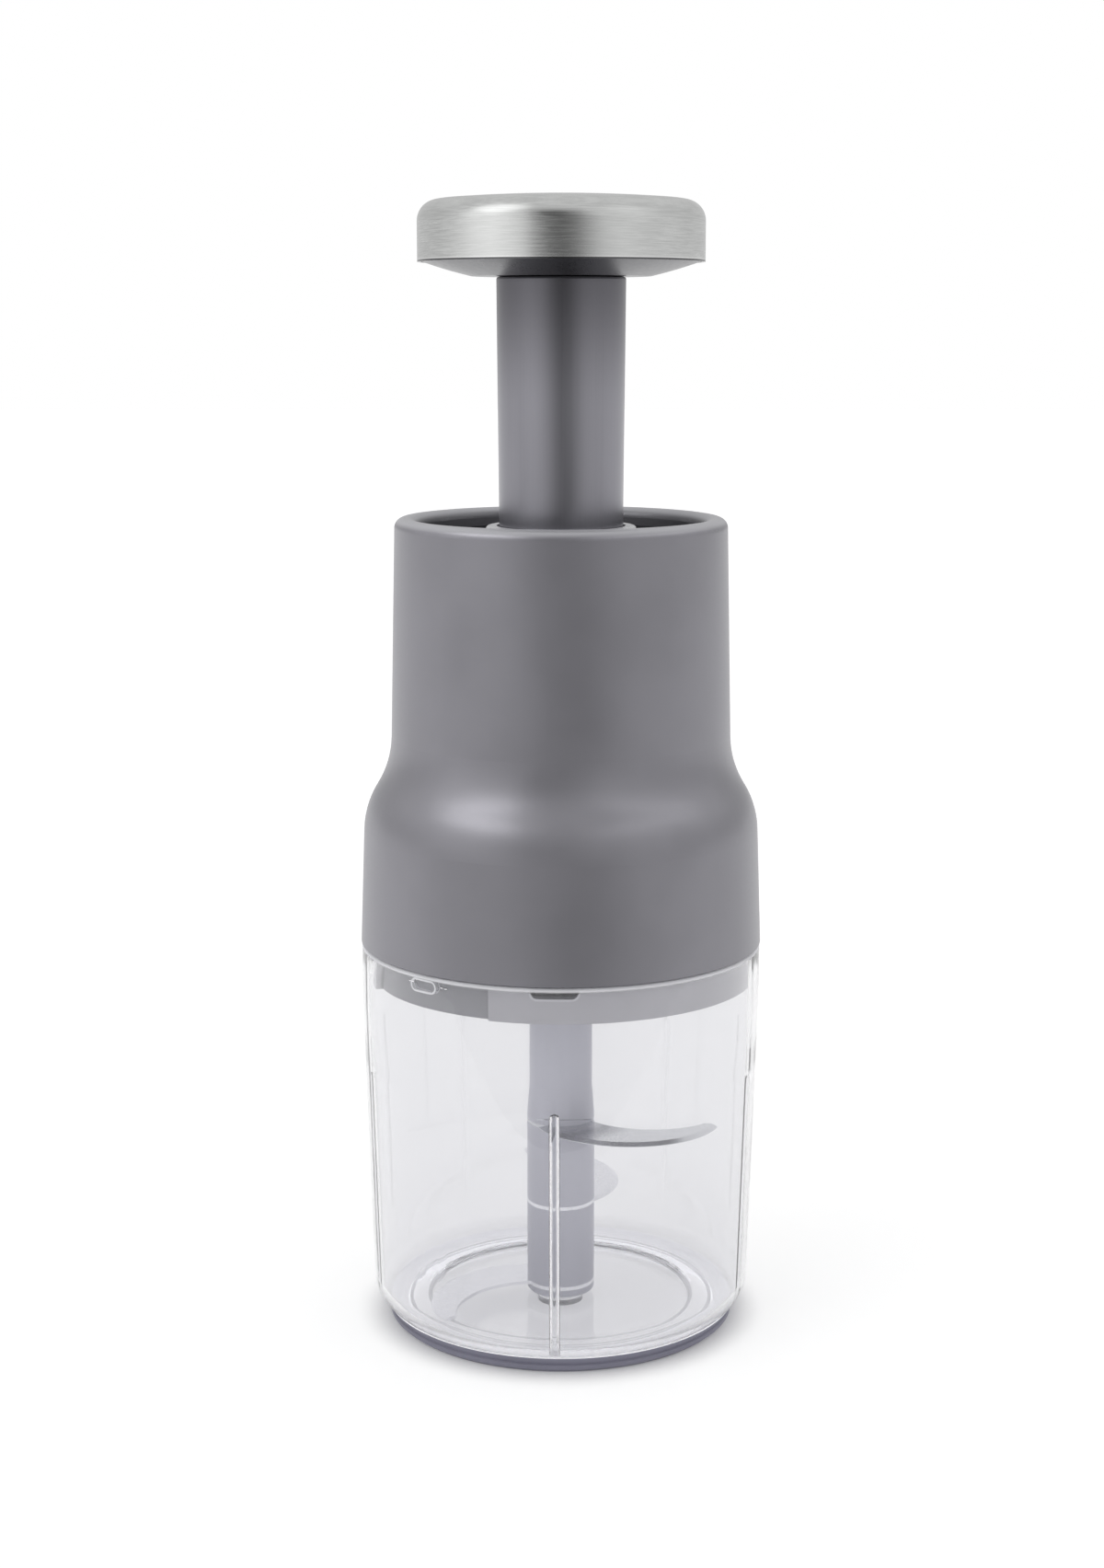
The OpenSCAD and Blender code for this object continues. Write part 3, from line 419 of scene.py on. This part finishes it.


# Brushed steel of the knob: fine lines that run round the axis, and where the lower edge is rolled in, a
# painted highlight band over a painted dark line of shade
capFinish = {
    "colour": tone(212, 213, 212), "dim": 0.90, "bright": 1.05, "rough": 0.21,
    "across": 9000, "around": 9, "lineGloss": (-0.05, 0.06),
    "broadAcross": 1080, "broadAround": 5, "broadGloss": 0.12, "clouds": 60, "cloudGloss": 0.05,
    "bump": 0.22, "depth": 0.00003, "lineShare": 0.7, "drawn": 0.6, "drawnTurn": 0.25,
    "hemShade": (0.00032, 0.00040), "hemShadeTone": tone(96, 96, 98),
    "hemHighlight": (0.00036, 0.00090), "hemHighlightTone": tone(238, 238, 238), "hemHighlightShare": 0.8,
}


def brushedSteel():
    f = capFinish
    material, flow = startMaterial("capSteel")
    spot, x, y, z, reach = flow.places()
    cosine, sine = x / reach, y / reach
    across = z + reach
    lines = flow.noise(flow.point(cosine * f["around"], sine * f["around"], across * f["across"]),
                       scale=0.5, detail=3, rough=0.7)
    broad = flow.noise(flow.point(cosine * f["broadAround"], sine * f["broadAround"],
                                  across * f["broadAcross"]), scale=0.8, detail=2)
    clouds = flow.noise(spot, f["clouds"], detail=2)
    shade = flow.blend(lines.spread(), scaled(f["colour"], f["dim"]), scaled(f["colour"], f["bright"]))
    height = z - min(v.co.z for v in nodes["knob_cap"].data.vertices)
    # a painted highlight band just above the lower edge, and painted shade right at it
    shade = flow.blend(height.between(*f["hemHighlight"], f["hemHighlightShare"], 0), shade, f["hemHighlightTone"])
    shade = flow.blend(height.between(*f["hemShade"], 1, 0), shade, f["hemShadeTone"])
    smooth, coarse = f["lineGloss"]
    gloss = lines.spread(f["rough"] + smooth, f["rough"] + coarse)
    gloss += (broad - 0.5) * f["broadGloss"] + (clouds - 0.5) * f["cloudGloss"]
    bump = flow.node("Bump", None, {"Strength": f["bump"], "Distance": f["depth"],
                                    "Height": lines * f["lineShare"] + broad * (1 - f["lineShare"])})
    endMaterial(flow, flow.node("BsdfPrincipled", None, {
        "Base Color": shade, "Metallic": 1.0, "Roughness": gloss, "Anisotropic": f["drawn"],
        "Anisotropic Rotation": f["drawnTurn"], "Normal": bump}))
    return material


dress(brushedSteel(), "knob_cap")


# Stem: a satin skin with metal in it, drawn along its length, and darkened just under the knob by a painted
# shadow of the knob
stemFinish = {
    "colour": tone(150, 149, 156), "dim": 0.98, "bright": 1.02, "rough": 0.30, "metal": 0.75, "shine": 0.5,
    "across": 2200, "along": 22, "lineGloss": 0.02, "clouds": 45, "cloudGloss": 0.04,
    "bump": 0.02, "depth": 0.00003, "knobShadow": (0.206, 0.2348), "knobShadowTone": tone(90, 89, 94), "knobShadowShare": 0.75,
}


def drawnStem():
    f = stemFinish
    material, flow = startMaterial("stemSatin")
    spot, x, y, z, _ = flow.places()
    lines = flow.noise(flow.point(x * f["across"], y * f["across"], z * f["along"]),
                       scale=1.0, detail=3, rough=0.6)
    clouds = flow.noise(spot, f["clouds"], detail=2)
    shade = flow.blend(lines.spread(), scaled(f["colour"], f["dim"]), scaled(f["colour"], f["bright"]))
    # painted shadow of the knob over the stem's top
    shade = flow.blend(z.between(*f["knobShadow"], 0, f["knobShadowShare"]), shade, f["knobShadowTone"])
    gloss = lines.spread(f["rough"] - f["lineGloss"], f["rough"] + f["lineGloss"])
    gloss += (clouds - 0.5) * f["cloudGloss"]
    bump = flow.node("Bump", None, {"Strength": f["bump"], "Distance": f["depth"], "Height": lines})
    endMaterial(flow, flow.node("BsdfPrincipled", None, {
        "Base Color": shade, "Metallic": f["metal"], "Roughness": gloss, "Normal": bump,
        "Specular IOR Level": f["shine"]}))
    return material


dress(drawnStem(), "stem")


# Plain steel of pins, screws, rod and spring, polished steel under the knob, and the blades' ground steel
steelSkin = {"grainGloss": 0.03, "wide": 70, "wideGloss": 0.08, "depth": 0.00002}


def steel(name, colour, rough, scale, bump, dull=0.88, rootShade=None):
    f = steelSkin
    material, flow = startMaterial(name)
    spot, *_, reach = flow.places()
    grain = flow.noise(spot, scale, detail=3, rough=0.6)
    wide = flow.noise(spot, f["wide"], detail=2)
    shade = flow.blend(grain.spread(), scaled(colour, dull), colour)
    if rootShade:
        # painted shade over the blade near its root
        share = reach.between(*rootShade["end"], rootShade["share"], 0)
        share -= reach.between(*rootShade["start"], rootShade["ease"], 0)
        shade = flow.blend(share, shade, rootShade["tone"])
    gloss = grain.spread(rough - f["grainGloss"], rough + f["grainGloss"])
    gloss += (wide - 0.5) * f["wideGloss"]
    bumps = flow.node("Bump", None, {"Strength": bump, "Distance": f["depth"], "Height": grain})
    endMaterial(flow, flow.node("BsdfPrincipled", None, {
        "Base Color": shade, "Metallic": 1.0, "Roughness": gloss, "Normal": bumps}))
    return material


# the blades share one grain, and the upper one is painted darker near its root, as painted shade
bladeGrain = {"scale": 4200, "bump": 0.006, "dull": 0.97}
bladeRootShade = {"start": (0.009, 0.013), "ease": 0.35, "end": (0.013, 0.020), "share": 0.6,
             "tone": tone(117, 117, 127)}

drawn = steel("drawnSteel", tone(200, 201, 203), rough=0.28, scale=2400, bump=0.1)
dress(drawn, "pivot_pin", "driver_screw", "spiral_rod", "lid_screws", "return_spring", "knob_screw")
dress(steel("polishedSteel", tone(108, 108, 111), rough=0.31, scale=900, bump=0.02), "knob_base")
dress(steel("bladeSteel", tone(230, 231, 234), rough=0.25, rootShade=bladeRootShade, **bladeGrain), "blade_upper")
dress(steel("lowBladeSteel", tone(240, 240, 244), rough=0.26, **bladeGrain), "blade_middle", "blade_lower")
print("metals done")


# Jar: one turned skin, whose inner side swells into five ribs and two locking lugs. Sizes are in millimetres
mm = 0.001
jarShape = {
    "rim": 45.0, "top": 88.0, "band": 74.6, "low": 43.1, "corner": 8.0, "centre": (35.1, 10.0), "wall": 1.9,
    "lift": 2.0, "dish": 30.2, "dishDepth": 0.4, "dishEase": 1.0,
    "boss": 5.0, "bossLow": 0.6, "hole": 1.55, "holeLow": 1.1, "middle": 0.4, "edge": 0.15,
    "ribs": 5, "ribTurn": -2.0, "ribWidth": 2.2, "ribDepth": 1.55, "ribTop": 60.0, "ribFoot": (38.6, 40.2),
    "nose": 2.6, "softRib": (1, 0.12, 0.7, 0.7, 0.12), "softLow": (8.0, 22.0),
    "lugs": 2, "lugTurn": -41.2, "lugWidth": 7.0, "lugHeight": 2.6, "lugDepth": 1.1, "lugMiddle": 85.6,
    "lugNose": 4,
}

# Fineness of the jar's mesh: rows up its outline and columns round it. The columns keep their distances
# down to the least radius and draw together below it
jarMesh = {
    "underside": 6, "wall": 8, "band": 4, "inner": 5, "floor": 2, "dish": 6,
    "fine": 0.16, "aboveRib": 0.6, "below": 2.0, "lead": 0.9,
    "cornerSteps": 18, "lipSteps": 12, "innerSteps": 22, "easeSteps": 10,
    "ribColumns": 20, "lugColumns": 9, "plainColumns": 12,
    "radius": 42, "least": 34, "joinWithin": 6, "apart": 0.02,
}


# Clear plastic of the jar: lamps shine through it, and it has a faint cool tint and a little haze.
# The haze is thicker on the rim, on the lugs' outlines, at the lower corner and on two rings of the floor:
# painted highlights of the light these clear places catch
jarFinish = {
    "tint": (0.872, 0.872, 0.885, 1), "rough": 0.0, "index": 1.5, "swell": 45, "bump": 0.05, "depth": 0.0004,
    "hazeAndHighlightTone": tone(244, 244, 248), "haze": 0.03, "rim": (0.0869, 0.0874), "rimHighlight": 0.85,
    "lugLine": (0.00015, 0.00030), "lugHighlight": 0.75,
    "cornerReach": (0.0345, 0.0380), "cornerHeight": (0.004, 0.009), "cornerPaintedLight": 0.12,
    "rings": (0.0302, 0.0346), "ringLine": (0.0002, 0.0005), "ringHeight": (0.005, 0.006), "ringHighlight": 0.5,
}


def lugEdge(flow, x, y, z):
    # one on the outline of a locking lug, nought away from it
    s = jarShape
    turn = math.radians(-90 + s["lugTurn"])
    side = (s["lugWidth"] - s["lugHeight"]) / 2 * mm
    across = flow.maths("ABSOLUTE", y * math.cos(turn) - x * math.sin(turn)) - side
    across = flow.maths("MAXIMUM", across, 0.0)
    above = z - s["lugMiddle"] * mm
    away = flow.maths("SQRT", across * across + above * above) - s["lugHeight"] / 2 * mm
    return flow.maths("ABSOLUTE", away).between(*jarFinish["lugLine"], 1, 0)


def clearPlastic():
    f = jarFinish
    material, flow = startMaterial("clearPlastic")
    spot, x, y, z, reach = flow.places()
    swell = flow.noise(spot, f["swell"], detail=1)
    bump = flow.node("Bump", None, {"Strength": f["bump"], "Distance": f["depth"], "Height": swell})
    glass = flow.node("BsdfPrincipled", None, {
        "Base Color": f["tint"], "Roughness": f["rough"], "IOR": f["index"], "Transmission Weight": 1.0,
        "Normal": bump})
    haze = flow.node("BsdfDiffuse", None, {"Color": f["hazeAndHighlightTone"]})
    # painted highlights: more haze on the rim, the lugs' outlines, the lower corner and two rings of the
    # floor
    share = z.between(*f["rim"], f["haze"], f["rimHighlight"])
    share = flow.maths("MAXIMUM", share, lugEdge(flow, x, y, z) * f["lugHighlight"])
    corner = reach.between(*f["cornerReach"]) * z.between(*f["cornerHeight"], f["cornerPaintedLight"], 0)
    share = flow.maths("MAXIMUM", share, corner)
    for ring in f["rings"]:
        near = flow.maths("ABSOLUTE", reach - ring).between(*f["ringLine"], f["ringHighlight"], 0)
        share = flow.maths("MAXIMUM", share, near * z.between(*f["ringHeight"], 1, 0))
    body = flow.node("MixShader", None, {0: share, 1: glass, 2: haze})
    passing = flow.node("BsdfTransparent", None, {"Color": f["tint"]})
    shadow = flow.node("LightPath", None, None, "Is Shadow Ray")
    endMaterial(flow, flow.node("MixShader", None, {0: shadow, 1: body, 2: passing}))
    return material


def arcPoints(centre, radius, start, end, count):
    return [(centre[0] + radius * math.cos(math.radians(start + (end - start) * i / count)),
             centre[1] + radius * math.sin(math.radians(start + (end - start) * i / count)))
            for i in range(count + 1)]


def linePoints(first, last, step):
    count = max(1, round(math.dist(first, last) / step))
    return [(first[0] + (last[0] - first[0]) * i / count, first[1] + (last[1] - first[1]) * i / count)
            for i in range(count + 1)]


def jarRows():
    # the outline from the middle of the underside round the rim to the pin's hole, and whether it is inside
    s, m = jarShape, jarMesh
    cx, cz = s["centre"]
    wall, edge = s["wall"], s["edge"]
    inner = s["low"] - wall
    mouth = s["rim"] - wall
    floor = s["lift"] + wall
    lip = wall / 2
    outside = [(s["middle"], s["bossLow"]), (s["boss"] - edge, s["bossLow"]),
               (s["boss"], s["bossLow"] + edge), (s["boss"], s["lift"] - edge),
               (s["boss"] + edge, s["lift"])]
    outside += linePoints((s["boss"] + edge, s["lift"]), (cx, s["lift"]), m["underside"])[1:-1]
    outside += arcPoints((cx, cz), s["corner"], -90, 0, m["cornerSteps"])
    outside += linePoints((s["low"], cz), (s["rim"], s["band"]), m["wall"])[1:]
    outside += linePoints((s["rim"], s["band"]), (s["rim"], s["top"] - lip), m["band"])[1:]
    outside += arcPoints((s["rim"] - lip, s["top"] - lip), lip, 0, 180, m["lipSteps"])[1:]
    # fine rows at the lugs and at the ribs' tops
    inside = linePoints((mouth, s["top"] - lip), (mouth, s["lugMiddle"] - m["below"]), m["fine"])[1:]
    inside += linePoints(inside[-1], (mouth, s["band"]), m["band"])[1:]
    slope = (s["rim"] - s["low"]) / (s["band"] - cz)
    high, low = s["ribTop"] + m["aboveRib"], s["ribTop"] - m["below"]
    # the wall is a touch thinner between the band and the ribs' tops
    inside += linePoints((mouth, s["band"]), (inner + wall * m["lead"], high), m["inner"])[1:]
    inside[-1] = (inner + slope * (high - cz), high)
    inside += linePoints(inside[-1], (inner + slope * (low - cz), low), m["fine"])[1:]
    inside += linePoints(inside[-1], (inner, cz), m["inner"])[1:]
    inside += arcPoints((cx, cz), s["corner"] - wall, 0, -90, m["innerSteps"])[1:]
    # the floor eases down into the dish on half a wave
    ease, drop = s["dishEase"], s["dishDepth"]
    inside += linePoints((cx, floor), (s["dish"] + ease, floor), m["floor"])[1:]
    for i in range(1, m["easeSteps"] + 1):
        wave = math.cos(math.pi * i / m["easeSteps"])
        inside.append((s["dish"] + ease * wave, floor - drop * (1 - wave) / 2))
    inside += linePoints(inside[-1], (s["hole"] + edge, floor - drop), m["dish"])[1:]
    inside += [(s["hole"], floor - drop - edge), (s["hole"], s["holeLow"] + edge),
               (s["hole"] - edge, s["holeLow"]), (s["middle"], s["holeLow"])]
    return [(r, z, False) for r, z in outside] + [(r, z, True) for r, z in inside]


def jarSwell(r, z, angle):
    # how far the inner skin stands in from the plain wall
    s = jarShape
    nose, lugNose = s["nose"], s["lugNose"]
    inFoot, outFoot = s["ribFoot"]
    half = s["ribWidth"] / 2
    deep = 0.0
    for k in range(s["ribs"]):
        turn = math.radians(-90 + s["ribTurn"] + 360 * k / s["ribs"])
        across = r * math.sin(angle - turn) / half
        if math.cos(angle - turn) > 0 and abs(across) < 1 and r > inFoot:
            above = max(0.0, z - (s["ribTop"] - half)) / half
            away = math.hypot(across, above)
            share = min(1.0, (r - inFoot) / (outFoot - inFoot))
            if k > 0:
                # the ribs away from the front are low swells that run out above the corner
                low, high = s["softLow"]
                share *= s["softRib"][k] * min(1.0, max(0.0, (z - low) / (high - low)))
            if away < 1 and k > 0:
                deep = s["ribDepth"] * share * (1 - away ** 2) ** 2
            elif away < 1:
                deep = s["ribDepth"] * share * (1 - away ** nose) ** (1 / nose)
    for k in range(s["lugs"]):
        turn = math.radians(-90 + s["lugTurn"] + 360 * k / s["lugs"])
        across = abs(r * math.sin(angle - turn)) - (s["lugWidth"] - s["lugHeight"]) / 2
        if math.cos(angle - turn) > 0:
            away = math.hypot(max(0.0, across), z - s["lugMiddle"]) / (s["lugHeight"] / 2)
            if away < 1:
                deep = max(deep, s["lugDepth"] * (1 - away ** lugNose) ** (1 / lugNose))
    return deep


def jarZones():
    # turns of the ribs and lugs, each with its own close columns as offsets in millimetres at the wall
    s, m = jarShape, jarMesh
    half = s["ribWidth"] / 2
    count = m["ribColumns"]
    spread = [-half * math.cos(math.pi * i / count) for i in range(count + 1)]
    zones = [(-90 + s["ribTurn"] + 360 * k / s["ribs"], spread) for k in range(s["ribs"])]
    side = (s["lugWidth"] - s["lugHeight"]) / 2
    count = m["lugColumns"]
    ends = [s["lugHeight"] / 2 * math.sin(math.pi / 2 * i / count) for i in range(count + 1)]
    lug = [-side - v for v in reversed(ends)] + [0] + [side + v for v in ends]
    zones += [(-90 + s["lugTurn"] + 360 * k / s["lugs"], lug) for k in range(s["lugs"])]
    # a lug and a rib that lie side by side share one set of columns
    joined = []
    for turn, places in sorted(zones):
        gap = math.radians(turn - joined[-1][0]) * m["radius"] if joined else math.inf
        if gap < m["joinWithin"]:
            both = sorted(joined[-1][1] + [gap + v for v in places])
            kept = [v for i, v in enumerate(both) if i == 0 or v - both[i - 1] > m["apart"]]
            joined[-1] = (joined[-1][0], kept)
        else:
            joined.append((turn, places))
    return joined


def jarColumns():
    # turn and offset of each column, with plain ones spread evenly between the zones
    m = jarMesh
    zones = jarZones()
    columns = []
    for i, (turn, places) in enumerate(zones):
        following, others = zones[(i + 1) % len(zones)]
        following += 360 if following < turn else 0
        columns += [(turn, v) for v in places]
        start = turn + math.degrees(places[-1] / m["radius"])
        end = following + math.degrees(others[0] / m["radius"])
        step = (end - start) / m["plainColumns"]
        columns += [(start + step * j, 0.0) for j in range(1, m["plainColumns"])]
    return columns


def buildJar():
    rows, columns = jarRows(), jarColumns()
    points, faces = [], []
    for i, (r, z, inside) in enumerate(rows):
        before, after = rows[max(0, i - 1)], rows[min(len(rows) - 1, i + 1)]
        along = Vector((after[0] - before[0], after[1] - before[1])).normalized()
        for turn, offset in columns:
            angle = math.radians(turn) + offset / max(r, jarMesh["least"])
            deep = jarSwell(r, z, angle) if inside else 0.0
            # the way in from the inner skin is square to its outline
            rr, zz = r + deep * along[1], z - deep * along[0]
            points.append((rr * math.cos(angle) * mm, rr * math.sin(angle) * mm, zz * mm))
    wide = len(columns)
    for i in range(len(rows) - 1):
        for j in range(wide):
            a, b = i * wide + j, i * wide + (j + 1) % wide
            faces.append((a, b, b + wide, a + wide))
    faces.append(tuple(reversed(range(wide))))
    faces.append(tuple((len(rows) - 1) * wide + j for j in range(wide)))
    mesh = bpy.data.meshes.new("jarSkin")
    mesh.from_pydata(points, [], faces)
    return finishPiece("jarSkin", mesh)


# Finish of each new mesh: doubles merged, faces turned outward, edges over the sharp angle kept
pieceFinish = {"merge": 1e-7, "sharp": 35}


def finishPiece(name, mesh):
    skin = bmesh.new()
    skin.from_mesh(mesh)
    bmesh.ops.remove_doubles(skin, verts=skin.verts, dist=pieceFinish["merge"])
    bmesh.ops.recalc_face_normals(skin, faces=skin.faces)
    for face in skin.faces:
        face.smooth = True
    skin.to_mesh(mesh)
    skin.free()
    mesh.set_sharp_from_angle(angle=math.radians(pieceFinish["sharp"]))
    piece = bpy.data.objects.new(name, mesh)
    bpy.context.scene.collection.objects.link(piece)
    return piece


def place(piece, material, body, slot, *stood):
    piece.data.materials.clear()
    piece.data.materials.append(material)
    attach(piece, body)
    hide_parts(*stood)
    print("piece", piece.name, "faces", len(piece.data.polygons))


clear = clearPlastic()
dress(clear, "jar")
place(buildJar(), clear, "jar", "clear_plastic", "jar")


# Pieces grown by Geometry Nodes: a tree with named inputs runs once and leaves a plain mesh
def growPiece(name, given, build, material):
    tree = bpy.data.node_groups.new(name, "GeometryNodeTree")
    kinds = {float: "NodeSocketFloat", int: "NodeSocketInt"}
    sockets = tree.interface
    marks = {}
    for label, value in given.items():
        added = sockets.new_socket(label, in_out="INPUT", socket_type=kinds[type(value)])
        marks[label] = added.identifier
    sockets.new_socket("Geometry", in_out="OUTPUT", socket_type="NodeSocketGeometry")
    flow = Flow(tree)
    start = tree.nodes.new("NodeGroupInput")
    grown = build(flow, {label: Flow(tree, start.outputs[label]) for label in given})
    grown = flow.node("RealizeInstances", None, {"Geometry": grown})
    grown = flow.node("SetMaterial", None, {"Geometry": grown, "Material": material})
    tree.links.new(grown.socket, tree.nodes.new("NodeGroupOutput").inputs[0])
    host = bpy.data.objects.new(name + "Host", bpy.data.meshes.new(name + "Host"))
    bpy.context.scene.collection.objects.link(host)
    growth = host.modifiers.new(name, "NODES")
    growth.node_group = tree
    for label, mark in marks.items():
        growth[mark] = given[label]
    ready = host.evaluated_get(bpy.context.evaluated_depsgraph_get())
    mesh = bpy.data.meshes.new_from_object(ready)
    bpy.data.objects.remove(host)
    return finishPiece(name, mesh)


# Return spring: round wire wound up round the guide
springShape = {"Radius": 0.0157, "Wire": 0.00065, "Turns": 7.5, "Foot": 0.10675, "Height": 0.0625,
               "Steps": 48, "Around": 14}


def buildSpring(flow, given):
    path = flow.node("CurveSpiral", None, {
        "Resolution": given["Steps"], "Rotations": given["Turns"], "Start Radius": given["Radius"],
        "End Radius": given["Radius"], "Height": given["Height"]})
    ring = flow.node("CurvePrimitiveCircle", None, {"Resolution": given["Around"], "Radius": given["Wire"]})
    wire = flow.node("CurveToMesh", None, {"Curve": path, "Profile Curve": ring, "Fill Caps": True})
    lift = flow.node("ShaderNodeCombineXYZ", None, {"Z": given["Foot"]})
    return flow.node("Transform", None, {"Geometry": wire, "Translation": lift})


spring = growPiece("springWire", springShape, buildSpring, drawn)
place(spring, drawn, "head", "plain_steel", "return_spring")
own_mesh(spring)


# Lid screws: pan heads with a cross recess, seen from below
screwShape = {"Count": 3, "Circle": 0.028, "Turn": math.radians(-30), "Foot": 0.0865,
              "Head": 0.0028, "Edge": 0.0024, "Thick": 0.0018, "Shank": 0.0014, "Length": 0.012,
              "Cross": 0.0032, "Arm": 0.0007, "Deep": 0.0022, "HeadSides": 48, "ShankSides": 32}


def buildScrews(flow, given):
    head = flow.node("MeshCone", None, {
        "Vertices": given["HeadSides"], "Radius Top": given["Head"], "Radius Bottom": given["Edge"],
        "Depth": given["Thick"]})
    arms = []
    for wide, high in (("Cross", "Arm"), ("Arm", "Cross")):
        size = flow.node("ShaderNodeCombineXYZ", None, {
            "X": given[wide], "Y": given[high], "Z": given["Deep"]})
        arms.append(flow.node("MeshCube", None, {"Size": size}))
    cut = flow.node("MeshBoolean", {"operation": "DIFFERENCE"}, {"Mesh 1": head, "Mesh 2": arms})
    shank = flow.node("MeshCylinder", None, {
        "Vertices": given["ShankSides"], "Radius": given["Shank"], "Depth": given["Length"]})
    rise = flow.node("ShaderNodeCombineXYZ", None, {"Z": given["Thick"] + given["Length"] * 0.5})
    shank = flow.node("Transform", None, {"Geometry": shank, "Translation": rise})
    screw = flow.node("JoinGeometry", None, {"Geometry": [cut, shank]})
    spots = flow.node("MeshCircle", None, {"Vertices": given["Count"], "Radius": given["Circle"]})
    screws = flow.node("InstanceOnPoints", None, {"Points": spots, "Instance": screw})
    lift = flow.node("ShaderNodeCombineXYZ", None, {"Z": given["Foot"]})
    turn = flow.node("ShaderNodeCombineXYZ", None, {"Z": given["Turn"]})
    return flow.node("Transform", None, {"Geometry": screws, "Translation": lift, "Rotation": turn})


place(growPiece("lidScrews", screwShape, buildScrews, drawn), drawn, "head", "plain_steel", "lid_screws")
print("springs and screws done")


def corners(box):
    return [[float(v) for v in corner] for corner in box]
